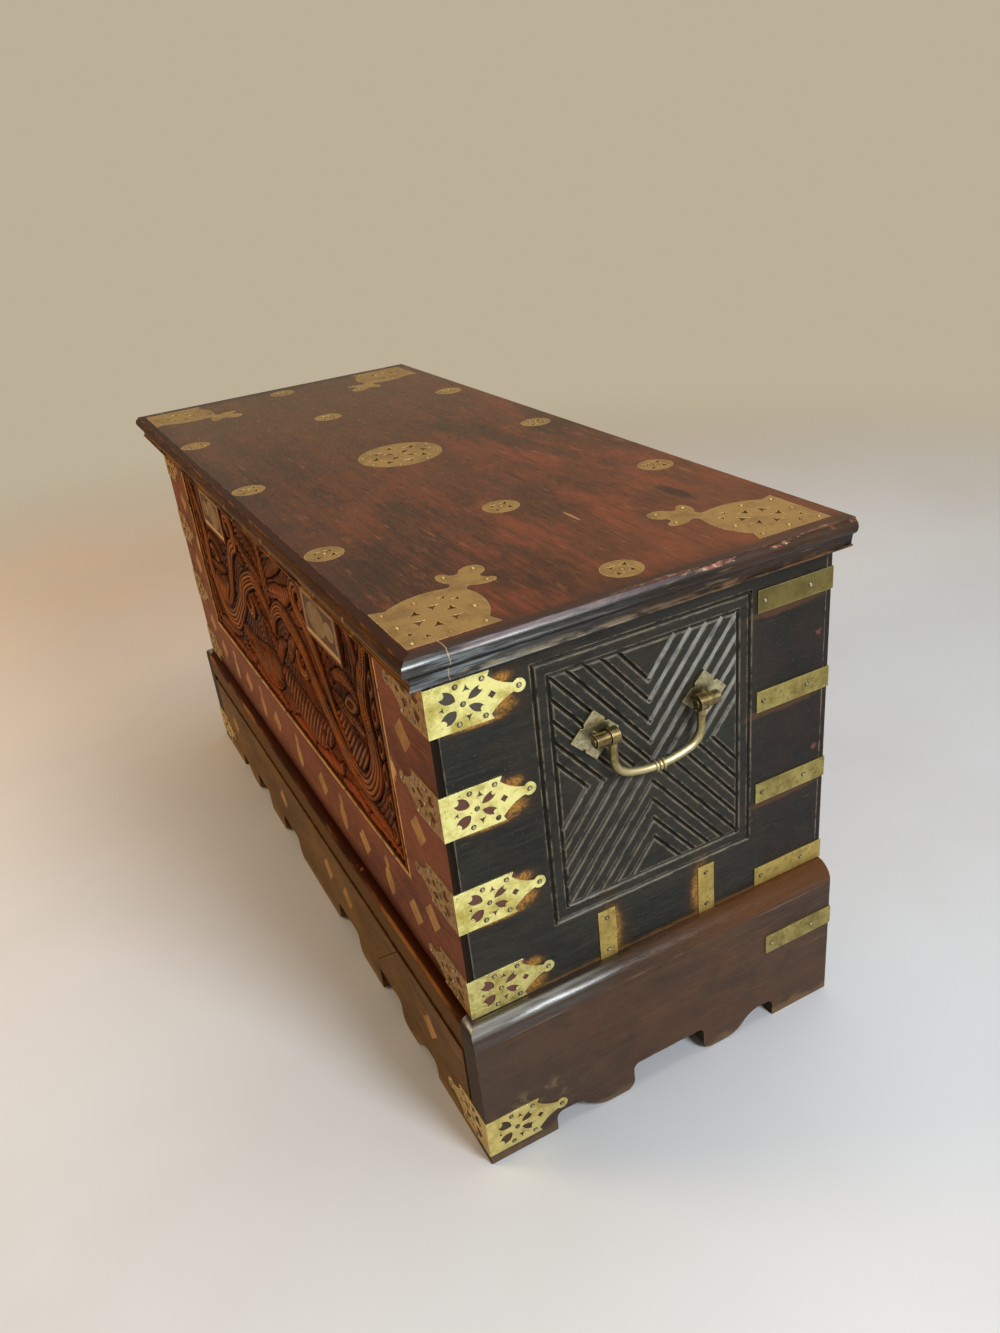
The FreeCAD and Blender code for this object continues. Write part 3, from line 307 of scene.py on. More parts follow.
def lid_finish():
    """Mottled red-brown lid, redder to the back right, with a grey painted sheen to the far left."""
    lid = Wood("lid_red_brown", "X", tone(48, 26, 15), tone(80, 44, 25), tone(106, 60, 34), 1.0)
    back_right = (lid.x * 0.5 + lid.y).step(-0.14, 0.2)
    red = lid.noise(26, (0.3, 1, 1), detail=7.0, roughness=0.7, seed=11.0).step(0.42, 0.64)
    lid.stain(red * (back_right * 0.5 + 0.25), tone(126, 60, 33))
    # Greyer to the far left: painted sheen, a painted reflection of the backdrop.
    painted_far_sheen = (lid.x * 0.8 - lid.y * 0.2).step(0.1, -0.4)
    stains = lid.noise(20, detail=7.0, roughness=0.72, seed=17.0).step(0.55, 0.68)
    lid.stain(stains * 0.4, tone(40, 24, 16))
    grain = lid.noise(190, (0.05, 1, 1), detail=6.0, roughness=0.72, seed=27.0)
    lid.stain(grain.step(0.52, 0.62) * 0.5, tone(36, 20, 13))
    lid.stain(grain.step(0.42, 0.32) * 0.35, tone(136, 80, 46))
    lid.stain(painted_far_sheen * 0.55, tone(82, 64, 41))
    lid.stain((lid.x * 0.7 + lid.y).step(0.18, 0.42) * 0.35, tone(120, 68, 42))
    rubs = lid.noise(75, (0.3, 1, 1), detail=6.0, roughness=0.75, seed=21.0).step(0.58, 0.7)
    lid.stain(rubs * 0.35, tone(152, 90, 56))
    lid.stain(lid.scratch * 0.5, tone(150, 100, 68))
    knot = lid.ellipse(lid.x - lid_knot[0], lid.y - lid_knot[1], 0.03, 0.008)
    knot = knot + lid.fray(1.6, 90, seed=23.0)
    lid.stain(knot.step(1.1, 0.5) * 0.7, tone(28, 18, 14))
    nick = lid.ellipse(lid.x - lid_nick[0], lid.y - lid_nick[1], 0.014, 0.0016)
    nick = nick + lid.fray(0.8, 200, seed=25.0)
    lid.stain(nick.step(1.1, 0.7) * 0.8, tone(168, 122, 88))
    lid_top_marks(lid, 1.0)
    return lid.wood(0.26, 0.24, 0.18)


def end_moulding_finish():
    """Near-black glossy moulding: its top goes with the lid, its lower fillet is worn pale. Its quirk is
    painted dark as shade, and its arris and rounds near the front corner carry painted highlight.
    """
    bar = Wood("end_moulding_black", "Y", tone(10, 9, 7), tone(24, 21, 16), tone(46, 38, 28), 2.0)
    flat_top = lid_flat(bar)
    bar.stain(flat_top * 0.85, tone(58, 31, 21))
    lid_top_marks(bar, flat_top)
    back_half = bar.y.step(-0.12, 0.14)
    height = (bar.z - lid_base) + bar.fray(0.006, 70, (1, 0.4, 1), detail=5.0, seed=3.0)
    worn = height.step(0.0058, 0.002) * bar.noise(150, (1, 0.25, 1), detail=6.0, seed=5.0).step(0.4, 0.58)
    bar.stain(worn * 0.85, bar.mix(back_half, tone(156, 142, 118), tone(136, 96, 60)))
    # Dark line in the quirk: painted shade in the groove.
    quirk = (bar.z - moulding_quirk).within(0.0014, 0.0012)
    bar.stain(quirk * 0.85, SOOT_AND_SHADE)
    scuffs = bar.noise(300, (1, 0.1, 1), detail=5.0, seed=12.0).step(0.56, 0.66)
    bar.stain(scuffs * (back_half * 0.4 + 0.2) * (1 - flat_top), tone(138, 112, 84))
    brown = bar.noise(24, (1, 0.3, 1), detail=6.0, seed=15.0).step(0.44, 0.62) * back_half
    bar.stain(brown * 0.6, tone(74, 48, 32))
    upper_edge = (bar.z - (lid_top - 0.0022)).within(0.0008, 0.0012)
    chips = upper_edge * bar.noise(110, (1, 0.4, 1), detail=6.0, roughness=0.7, seed=7.0).step(0.5, 0.6)
    pale = bar.noise(260, seed=8.0).step(0.45, 0.6)
    bar.stain(chips * back_half, bar.mix(pale, tone(168, 96, 62), tone(226, 190, 164)))
    # Pale mauve line along the arris towards the front: painted highlight.
    arris = upper_edge * bar.noise(60, (1, 0.2, 1), detail=4.0, seed=9.0).step(0.36, 0.54)
    bar.stain(arris * (1 - back_half) * 0.5, tone(150, 130, 138))
    # Pale bluish streaks on the rounds near the front corner: painted highlight.
    near_corner = bar.y.step(0.02, -0.13) * (1 - flat_top) * (1 - quirk)
    rubbed = bar.noise(330, (1, 0.06, 1), detail=5.0, roughness=0.7, seed=33.0).step(0.47, 0.6)
    bar.stain(near_corner * rubbed * 0.5, tone(138, 150, 154))
    waxed = bar.noise(120, (1, 0.12, 1), detail=5.0, seed=31.0).step(0.26, 0.52)
    return bar.wood(0.32, 0.2, 0.25, polish=near_corner * waxed)


def front_moulding_finish():
    """Olive-gold front moulding with fine lines, three pale marks, a worn patch and painted shade in its
    quirk.
    """
    bar = Wood("front_moulding_gold_brown", "X", tone(36, 16, 2), tone(66, 34, 5), tone(102, 61, 14), 3.0)
    flat_top = lid_flat(bar)
    bar.stain(flat_top * 0.85, tone(60, 33, 23))
    lid_top_marks(bar, flat_top)
    # Dark line in the quirk: painted shade in the groove.
    quirk = (bar.z - moulding_quirk).within(0.001, 0.0012)
    bar.stain(quirk * 0.8, tone(24, 11, 4))
    lines = (bar.z - lid_base).repeat(0.002, 0.003).within(0.0003, 0.0004)
    low = bar.z.step(lid_base + 0.010, lid_base + 0.008)
    bar.stain(lines * low * bar.noise(70, (0.2, 1, 1), seed=4.0).step(0.4, 0.6), tone(178, 124, 52))
    lean = (bar.z - lid_base) * 0.25
    for place in moulding_marks:
        ragged = bar.x - place - lean + bar.fray(0.006, 160, seed=14.0)
        mark = ragged.within(0.0012, 0.0018) * bar.z.step(lid_top - 0.004, lid_top - 0.007)
        bar.stain(mark * 0.6, tone(170, 126, 58))
    patch = bar.ellipse(bar.x - moulding_patch[0], bar.z - moulding_patch[1], 0.019, 0.007)
    patch = patch + bar.fray(1.8, 180, detail=6.0, seed=8.0)
    bar.stain(patch.step(1.1, 0.7) * 0.6, tone(138, 104, 48))
    bar.stain(patch.step(0.9, 1.0) * patch.step(1.15, 1.05) * 0.6, tone(196, 156, 78))
    chips = bar.edges(0.0013, 0.012, 0.16) * bar.noise(150, (0.3, 1, 1), seed=7.0).step(0.48, 0.62)
    bar.stain(chips * 0.8, tone(190, 108, 50))
    return bar.wood(0.3, 0.18, 0.04)


def strap_halo(wood):
    """Distance, in its own units, from the places rubbed bare by the straps of an end: 1 at their rim."""
    along = wood.y - coffer_front
    up = wood.z.repeat(strap_first, strap_pitch)
    under_tip = wood.ellipse(along - 0.056, up + 0.0105, 0.015, 0.0095)
    over_tip = wood.ellipse(along - 0.058, up - 0.0095, 0.010, 0.006)
    below = wood.ellipse(along - 0.036, up + 0.0195, 0.026, 0.0035)
    halo = under_tip.least(over_tip).least(below)
    half = upright_width / 2
    for middle, shift in ((upright_low.y + half, 0.005), (upright_high.y - half, -0.005)):
        foot = wood.ellipse(wood.y - middle - shift, wood.z - upright_low.z - 0.026, 0.0115, 0.03)
        halo = halo.least(foot)
    return halo + wood.fray(1.1, 140, detail=6.0, roughness=0.7, seed=13.0)


def groove_wear(end):
    """Incised lines of an end: black painted shade under their upper walls, dusty below with painted
    highlight on walls facing up and forward in the upper half, rubbed pale on their lips.
    """
    depth = coffer_half - abs(end.x)
    along, up = end.normal()[1:]
    in_groove = depth.step(0.00012, 0.0003)
    dust_and_highlight_breakup = end.noise(60, detail=6.0, roughness=0.7, seed=9.0).step(0.2, 0.62)
    # Black on the groove walls that face down: painted shade.
    end.stain(in_groove * up.step(0.1, -0.2) * 0.85, SOOT_AND_SHADE)
    thin_dust = up.step(0.1, 0.35) * in_groove * depth.step(0.0012, 0.0004)
    end.stain(thin_dust * dust_and_highlight_breakup * 0.7, tone(138, 130, 114))
    # Pale on the groove walls that face up and forward, mostly in the upper half: painted highlight.
    lit_wall = up.step(0.1, 0.35) * along.step(-0.1, -0.35) * in_groove
    upper_half = end.z.step(0.28, 0.4)
    end.stain(lit_wall * dust_and_highlight_breakup * (upper_half * 0.7 + 0.1), tone(176, 178, 174))
    lips = end.edges(0.0022, 0.004, 0.05) * depth.step(0.0012, 0.0004)
    end.stain(lips * end.noise(110, detail=5.0, seed=12.0).step(0.36, 0.58) * 0.7, tone(160, 146, 120))


def strap_stains(end):
    """Amber and brown that the straps have left on an end, round them and in their openings."""
    plain_low_edge = end.z.repeat(plain_first, plain_pitch) + 0.0125
    plain = end.ellipse(end_high.y - 0.045 - end.y, plain_low_edge, 0.042, 0.004)
    plain = plain + end.fray(1.2, 90, detail=5.0, seed=14.0)
    end.stain(plain.step(1.2, 0.5) * 0.5, tone(96, 62, 28))
    halo = strap_halo(end)
    amber = end.mix(end.noise(420, detail=5.0, seed=1.0).step(0.4, 0.6), tone(122, 82, 30), AMBER)
    end.stain(halo.step(1.9, 0.8) * 0.65, tone(60, 42, 20))
    end.stain(halo.step(1.15, 0.3) * 0.9, amber)
    behind_strap = end.z.repeat(strap_first, strap_pitch).within(strap_height / 2 - 0.002, 0.001)
    under_strap = (end.y - coffer_front).step(strap_shoulder + 0.004, strap_shoulder) * behind_strap
    below_top_strap = end.z.step(strap_high.z - 0.0515, strap_high.z - 0.0915)
    end.stain(under_strap * 0.9, end.mix(below_top_strap, tone(80, 74, 64), tone(104, 66, 54)))


def end_specks(end):
    """Nicks, dust, the amber foot and the red specks of an end."""
    nicks = end.flecks(60, 0.055, (1, 1.6, 1)) * end.noise(14, seed=15.0).step(0.5, 0.6)
    end.stain(nicks * 0.85, tone(158, 146, 128))
    dust = end.flecks(170, 0.1, (1, 1.3, 1)) * end.noise(16, detail=5.0, seed=26.0).step(0.5, 0.62)
    end.stain(dust * 0.6, tone(148, 136, 116))
    foot = end.z - visible_foot + end.fray(0.008, 80, detail=5.0, seed=28.0)
    end.stain(foot.step(0.005, 0.001) * 0.55, tone(118, 82, 42))
    ragged = end.fray(2.4, 260, seed=3.0)
    for speck_y, speck_z in end_red_specks:
        speck = end.ellipse(end.y - speck_y, end.z - speck_z, 0.004, 0.004) + ragged
        end.stain(speck.step(0.9, 0.5) * 0.7, tone(116, 66, 56))


def end_finish():
    """Near-black incised end, amber where the brass has rubbed it."""
    end = Wood("end_black", "Y", tone(21, 21, 17), tone(38, 38, 31), tone(56, 54, 45), 4.0)
    browned = end.noise(22, detail=7.0, roughness=0.72, seed=6.0).step(0.48, 0.66)
    end.stain(browned * 0.45, tone(56, 45, 32))
    to_back = end.y.step(0.06, 0.16)
    end.stain(to_back * 0.72, tone(18, 13, 9))
    end.stain(to_back * end.noise(30, detail=6.0, seed=16.0).step(0.42, 0.62) * 0.5, tone(46, 28, 20))
    speckle = end.noise(520, detail=4.0, roughness=0.7, seed=18.0).step(0.58, 0.7)
    end.stain(speckle * 0.3, tone(112, 104, 88))
    strap_stains(end)
    groove_wear(end)
    joint = (end.y - end_low.y).within(0.0004, 0.0005)
    end.stain(joint * 0.5, tone(96, 90, 78))
    end_specks(end)
    end.stain(end.scratch * end.noise(40, seed=24.0).step(0.46, 0.6) * 0.5, tone(92, 84, 70))
    sheen = end.noise(36, detail=6.0, roughness=0.7, seed=22.0).step(0.4, 0.62)
    return end.wood(0.2 + sheen * 0.16, 0.2, 0.22)


def ebonise_ends(wood):
    """Blackens the end grain of a long board where it shows on the ends of the coffer."""
    board_end = abs(wood.x).step(coffer_half - 0.0008, coffer_half - 0.0004)
    wood.stain(board_end * 0.92, EBONY)


def front_finish():
    """Purple-brown stiles and band, dark with painted shade in the recess."""
    front = Wood("front_purple_brown", "X", tone(76, 37, 20), tone(114, 62, 36), tone(138, 82, 48), 5.0)
    front.stain(front.noise(9, detail=6.0, seed=3.0).step(0.46, 0.68) * 0.4, tone(126, 68, 46))
    # Darker behind the face, in the recess: painted shade.
    deep = (front.y - coffer_front).step(0.0012, 0.004)
    front.stain(deep * 0.85, tone(34, 13, 4))
    edge = front.edges(0.0009, 0.015, 0.2) * front.noise(120, seed=2.0).step(0.42, 0.6)
    front.stain(edge * 0.5, tone(150, 100, 58))
    low = front.z.step(coffer_base + 0.02, coffer_base + 0.002)
    front.stain(low * 0.7, tone(36, 15, 5))
    front.stain(front.scratch * 0.25, tone(146, 98, 62))
    in_tablet = (abs(front.x) - tablet_middle).within(tablet_length / 2 - 0.001, 0.001)
    in_tablet = in_tablet * front.z.step(tablet_low.z, tablet_low.z + 0.002)
    front.stain(in_tablet * 0.8, tone(72, 53, 38))
    ebonise_ends(front)
    return front.wood(0.36, 0.2, 0.04)


def carving_finish():
    """Orange-brown foliage: lighter on its heights with rubbed wear and painted highlight, dark with
    painted shade in its cuts.
    """
    leaf = Wood("carving_orange_brown", "X", tone(48, 22, 5), tone(82, 40, 9), tone(122, 65, 18), 6.0)
    redder = leaf.noise(24, detail=6.0, roughness=0.65, seed=8.0).step(0.44, 0.62)
    leaf.stain(redder * 0.55, tone(136, 62, 11))
    low = leaf.z.step(line_low.z + 0.045, line_low.z + 0.015)
    leaf.stain(low * 0.45, tone(156, 70, 14))
    far = leaf.x.step(0.12, -0.25)
    leaf.stain(far * 0.45, tone(74, 42, 18))
    # Lighter on the heights, orange or mauve: rubbed wear and painted highlight.
    depth = leaf.y - coffer_front + leaf.fray(0.0009, 240, detail=5.0, seed=4.0)
    dusty = leaf.noise(40, detail=5.0, seed=5.0).step(0.42, 0.6)
    rubbed = leaf.mix(dusty, tone(168, 94, 34), tone(130, 92, 66))
    leaf.stain(depth.step(0.0019, 0.0009) * 0.65, rubbed)
    # Darker deep in the cuts and in narrow hollows: painted shade.
    leaf.stain(depth.step(0.0024, 0.0046) * 0.85, tone(34, 12, 2))
    leaf.stain(leaf.hollow(0.009).step(0.28, 0.66) * 0.88, tone(18, 7, 1))
    return leaf.wood(0.3, 0.2, 0.02, 0.0004)


def plinth_scuffs(side):
    """Pale wear along the foot and the edges of a plinth side, with nicks and scratches."""
    foot = side.z + side.fray(0.03, 45, detail=5.0, seed=8.0)
    side.stain(foot.step(0.013, 0.004) * 0.6, tone(128, 100, 66))
    edge = side.edges(0.0014, 0.012, 0.2) * side.noise(110, detail=5.0, seed=6.0).step(0.4, 0.58)
    side.stain(edge * 0.75, tone(168, 138, 98))
    nicks = side.flecks(70, 0.05, (1, 1.4, 1)) * side.noise(12, seed=5.0).step(0.54, 0.64)
    side.stain(nicks * 0.7, tone(170, 146, 112))
    side.stain(side.scratch * 0.3, tone(118, 90, 62))
    speckle = side.noise(420, detail=4.0, roughness=0.7, seed=18.0).step(0.6, 0.7)
    side.stain(speckle * 0.25, tone(150, 124, 90))


def plinth_side_finish():
    """Dark brown plinth side: glossy nose with a painted highlight near the front corner, scuffed foot,
    dark front edge, dirt over its strap.
    """
    side = Wood("plinth_dark_brown", "Y", tone(52, 32, 17), tone(80, 52, 29), tone(102, 69, 39), 7.0)
    side.stain(side.noise(9, (1, 0.5, 1), detail=6.0, seed=2.0).step(0.45, 0.68) * 0.5, tone(82, 54, 33))
    stains = side.noise(24, detail=6.0, seed=4.0).step(0.52, 0.68)
    side.stain(stains * 0.45, tone(38, 27, 20))
    nose = side.z.step(plinth_high.z - 0.02, plinth_high.z - 0.012)
    side.stain(nose * side.y.step(0.0, 0.1) * 0.6, tone(98, 56, 20))
    side.stain(nose * side.y.step(0.05, -0.1) * 0.5, tone(42, 35, 29))
    under = (side.z - (plinth_high.z - 0.0178)).within(0.0004, 0.0005)
    under = under * side.noise(60, (1, 0.3, 1), detail=5.0, seed=3.0).step(0.42, 0.6)
    side.stain(under * 0.5, tone(150, 122, 88))
    plinth_scuffs(side)
    blotches = side.noise(60, detail=7.0, roughness=0.72, seed=12.0).step(0.46, 0.62)
    side.stain(blotches * (1 - nose) * 0.3, tone(56, 42, 32))
    along, up = side.normal()[1:]
    front_edge = along.step(-0.5, -0.9)
    side.stain(front_edge * 0.8, tone(36, 24, 15))
    near_corner = nose * side.y.step(-0.03, -0.11) * (1 - front_edge)
    waxed = side.noise(130, (1, 0.12, 1), detail=5.0, seed=31.0).step(0.26, 0.54)
    side.stain(near_corner * 0.4, tone(34, 29, 25))
    # Pale band on the nose near the front corner, where it faces up at about 45 degrees: painted highlight.
    painted_nose_highlight = up.step(0.45, 0.72) * up.step(0.99, 0.9) * near_corner
    side.stain(painted_nose_highlight * waxed * 0.5, tone(160, 161, 156))
    colder = (side.y + side.z * 0.6).step(0.02, -0.1) * (1 - nose)
    side.stain(colder * 0.35, tone(62, 52, 43))
    dirt = side.noise(70, detail=6.0, roughness=0.7, seed=16.0).step(0.5, 0.64)
    above_strap = side.ellipse(side.y - plinth_dirt[0], side.z - plinth_dirt[1], 0.05, 0.014)
    side.stain(above_strap.step(1.3, 0.4) * dirt * 0.6, tone(124, 104, 66))
    rough = front_edge * 0.4 + 0.36
    return side.wood(rough, 0.16, 0.28, edge=0.0012, polish=near_corner * waxed, wax_rough=0.2)


def plinth_front_finish():
    """Olive-brown plinth boards with a dark orange line of painted shade in the recess under the rail."""
    board = Wood("plinth_olive_brown", "X", tone(70, 46, 18), tone(106, 75, 33), tone(130, 95, 46), 8.0)
    # Dark orange in the recessed strip under the rail: painted shade.
    under_rail = board.z.step(rail_low.z - 0.012, rail_low.z - 0.01)
    recess = (board.y - plinth_front).step(0.0006, 0.0016) * under_rail
    board.stain(recess * 0.85, tone(60, 26, 6))
    foot = board.z + board.fray(0.03, 45, detail=5.0, seed=8.0)
    board.stain(foot.step(0.016, 0.004) * 0.5, tone(136, 104, 60))
    edge = board.edges(0.0014, 0.012, 0.2) * board.noise(110, detail=5.0, seed=6.0).step(0.42, 0.58)
    board.stain(edge * 0.7, tone(154, 114, 66))
    board.stain(board.noise(11, detail=6.0, seed=9.0).step(0.48, 0.68) * 0.4, tone(76, 58, 36))
    return board.wood(0.36, 0.2, 0.05)


def rail_finish():
    """Top rail of the plinth: dark orange ledge, worn nose, olive face."""
    rail = Wood("rail_orange_brown", "X", tone(34, 13, 2), tone(58, 27, 5), tone(92, 50, 14), 9.0)
    face = rail.z.step(rail_high.z - 0.006, rail_high.z - 0.012)
    rail.stain(face * 0.7, tone(96, 68, 34))
    ledge = rail.z.step(rail_high.z - 0.004, rail_high.z - 0.001)
    rail.stain(ledge * 0.85, tone(54, 20, 4))
    worn = rail.noise(40, (0.3, 1, 1), detail=5.0).step(0.42, 0.62)
    nose = (rail.z - (rail_high.z - 0.006)).within(0.0015, 0.002) * worn
    rail.stain(nose * 0.55, tone(176, 112, 52))
    spots = rail.flecks(55, 0.16) * ledge * rail.noise(20, seed=5.0).step(0.48, 0.6)
    rail.stain(spots * 0.8, tone(172, 88, 26))
    return rail.wood(0.32, 0.2, 0.01)


def inner_finish(name, along, seed):
    """Dry unpolished wood of the boards that are hidden when the chest is shut."""
    board = Wood(name, along, tone(86, 57, 36), tone(122, 86, 56), tone(148, 108, 74), seed)
    grime = board.noise(11, detail=6.0, seed=seed + 2).step(0.46, 0.7)
    board.stain(grime * 0.5, tone(80, 54, 36))
    board.stain(board.edges(0.0011, 0.015, 0.22) * 0.3, tone(172, 136, 100))
    on_back = board.y.step(back_low.y - 0.015, back_low.y - 0.01)
    back_joint = (board.z - back_joint_height).within(0.0008, 0.0008) * on_back
    board.stain(back_joint * 0.8, SOOT_AND_SHADE)
    ebonise_ends(board)
    return board.wood(0.56, 0.16, 0.25)


class Brass(Finish):
    """Rubbed brass sheet: bright metal, slow tarnish, spots and fine scratches."""

    def __init__(self, name, bright, dull, spot, seed):
        super().__init__(name)
        self.cloud = self.noise(42, detail=6.0, roughness=0.68, seed=seed)
        self.brushed = self.noise(700, (1, 0.12, 0.4), detail=3.0, seed=seed + 2)
        self.speck = self.noise(240, detail=3.0, seed=seed + 4).step(0.6, 0.7)
        body = self.mix(self.cloud.step(0.4, 0.66), bright, dull)
        body = self.mix(self.speck * 0.5, body, spot)
        self.colour = self.mix(self.brushed.step(0.55, 0.8) * 0.3, body, dull)

    def rub_edges(self, share, colour):
        """Edges of the piece, rubbed to this colour."""
        self.stain(self.edges(0.0009, 0.012, 0.2) * share, colour)

    def brass(self, rough, edge=0.0003, metal=0.9):
        """Dresses the shader. Metal is lower where tarnish and wax hide the bare brass."""
        relief = self.brushed * 0.4 + self.cloud * 0.8
        return self.dress({
            "Base Color": self.colour,
            "Metallic": metal,
            "Specular IOR Level": 0.08,
            "Roughness": rough + self.cloud * 0.16 + self.speck * 0.2,
            "Normal": self.bump(relief, 0.00014, edge),
        })


def strap_finish():
    """Lemon-bright straps, painted a darker golden brown as warm shade where they fold onto the front."""
    strap = Brass("strap_lemon_brass", tone(252, 246, 164), tone(194, 178, 88), tone(126, 98, 46), 1.0)
    # Golden brown where the straps fold onto the front: painted warm shade.
    on_front = strap.y.step(coffer_front - 0.0002, coffer_front - 0.0006)
    on_front = on_front * (coffer_half - abs(strap.x)).step(-0.0002, 0.0004)
    mottled = strap.noise(260, detail=5.0, seed=6.0).step(0.42, 0.6)
    strap.stain(on_front * 0.95, strap.mix(mottled, tone(148, 104, 42), tone(90, 57, 21)))
    lowest = strap.z.step(strap_first + 0.6 * strap_pitch, strap_first + 0.4 * strap_pitch)
    strap.stain(lowest * (1 - on_front) * 0.5, strap.mix(mottled, tone(196, 180, 108), tone(128, 112, 62)))
    tarnish = strap.noise(95, detail=6.0, roughness=0.72, seed=14.0).step(0.56, 0.68)
    strap.stain(tarnish * (1 - on_front) * 0.4, tone(146, 112, 46))
    strap.rub_edges((1 - on_front) * 0.5 + 0.2, tone(255, 252, 214))
    return strap.brass(0.34, metal=0.9 - on_front * 0.6)


def plinth_strap_finish():
    """Pierced plinth straps, softer in tone than those of the coffer, painted golden on the front as warm
    light.
    """
    strap = Brass("plinth_strap_brass", tone(226, 210, 136), tone(184, 162, 90), tone(104, 80, 44), 2.0)
    # Golden on the front faces: painted warm light.
    on_front = strap.y.step(plinth_front - 0.0002, plinth_front - 0.0006)
    strap.stain(on_front * 0.7, tone(174, 128, 60))
    strap.rub_edges(0.6, tone(252, 244, 196))
    return strap.brass(0.36)


def dull_strap_finish():
    """Plain olive straps: darker on the topmost with the painted shadow of the lid, warmer by the foot of
    the coffer.
    """
    strap = Brass("back_strap_olive_brass", tone(176, 162, 98), tone(132, 118, 64), tone(82, 66, 38), 3.0)
    # Darker topmost strap: painted shadow of the lid's overhang.
    lid_overhang_shadow = strap.z.step(plain_high.z - 0.0415, plain_high.z - 0.0115)
    strap.stain(lid_overhang_shadow * 0.7, tone(98, 87, 50))
    by_foot = strap.z.step(upright_high.z + 0.016, upright_high.z - 0.004)
    by_foot = by_foot * strap.z.step(upright_low.z - 0.019, upright_low.z - 0.009)
    strap.stain(by_foot * 0.5, tone(214, 184, 104))
    mottled = strap.noise(190, detail=6.0, roughness=0.7, seed=6.0).step(0.48, 0.62)
    strap.stain(mottled * 0.4, tone(104, 80, 42))
    strap.rub_edges(0.6, tone(214, 202, 148))
    return strap.brass(0.4)


def pin_finish(name, ring, middle):
    """Domed pin heads: dark at the rim, rubbed light on the crown."""
    pin = Brass(name, middle, ring, ring, 4.0)
    across, along, up = pin.normal()
    crown = abs(across).most(abs(along)).most(abs(up))
    pin.stain(crown.step(0.95, 0.86) * 0.9, ring)
    return pin.brass(0.34)


def mount_finish():
    """Tan-bronze brass let into the lid."""
    mount = Brass("inlay_tan_brass", tone(176, 144, 92), tone(146, 117, 76), tone(108, 82, 50), 5.0)
    mount.rub_edges(0.8, tone(236, 216, 160))
    return mount.brass(0.42)


def front_inlay_finish():
    """Gold-tan brass let into the front, duller than that of the lid."""
    inlay = Brass("front_inlay_brass", tone(164, 120, 60), tone(132, 94, 44), tone(84, 55, 24), 6.0)
    inlay.rub_edges(0.4, tone(206, 164, 92))
    return inlay.brass(0.46, metal=0.4)


def tablet_finish():
    """Grey-tan brass of the two tablets, dark in its corners."""
    tablet = Brass("tablet_tan_brass", tone(134, 108, 72), tone(104, 82, 52), tone(68, 50, 30), 9.0)
    tablet.stain(tablet.hollow(0.006).step(0.3, 0.7) * 0.6, tone(58, 36, 18))
    low_bar = tablet.z.step(tablet_low.z + 0.005, tablet_low.z + 0.003)
    tablet.stain(low_bar * 0.65, tone(196, 162, 104))
    tablet.rub_edges(0.5, tone(206, 178, 124))
    return tablet.brass(0.5, metal=0.4)


def stringing_finish():
    """Thin brass line round the carved field, cut through with black."""
    line = Brass("stringing_brass", tone(200, 154, 90), tone(164, 120, 64), tone(96, 64, 30), 10.0)
    gaps = line.noise(70, detail=4.0, seed=2.0).step(0.56, 0.62)
    line.stain(gaps * 0.8, tone(26, 12, 6))
    return line.brass(0.46, metal=0.5)


def handle_finish():
    """Olive cast brass: painted shade on faces turned down, brown in its hollows, bright where hands and
    edges rub it, with a painted highlight on top of the bow.
    """
    grip = Brass("handle_olive_brass", tone(158, 144, 98), tone(112, 96, 62), tone(62, 46, 32), 7.0)
    up = grip.normal()[2]
    # Darker on faces turned down: painted shade.
    grip.stain(up.step(0.2, -0.7) * 0.6, tone(84, 60, 38))
    patina = grip.noise(160, detail=6.0, roughness=0.7, seed=9.0).step(0.44, 0.6)
    grip.stain(patina * 0.6, tone(80, 62, 42))
    bow = grip.z.step(bail_low.z + 0.0295, bail_low.z + 0.0125)
    grip.stain(bow * 0.5, tone(184, 172, 122))
    # Brighter where the bow faces up: painted highlight over the rubbed brass.
    grip.stain(bow * up.step(-0.2, 0.5) * 0.65, tone(242, 232, 186))
    plate = (abs(grip.x) - coffer_half).step(0.0035, 0.0025)
    worn_plate = grip.noise(210, detail=6.0, roughness=0.72, seed=13.0).step(0.4, 0.6)
    grip.stain(plate * (worn_plate * 0.5 + 0.2), tone(204, 198, 160))
    grip.stain(grip.hollow(0.012).step(0.3, 0.75) * 0.75, tone(52, 36, 24))
    grip.rub_edges(0.6, tone(226, 214, 172))
    green = grip.noise(120, detail=5.0, seed=3.0).step(0.58, 0.7)
    grip.stain(green * 0.35, tone(110, 122, 100))
    return grip.brass(0.3)


def hinge_finish():
    """Dull brass of the hinges and their screws."""
    hinge = Brass("hinge_dull_brass", tone(150, 126, 74), tone(112, 90, 50), tone(70, 54, 34), 8.0)
    hinge.rub_edges(0.5, tone(220, 200, 146))
    return hinge.brass(0.36)


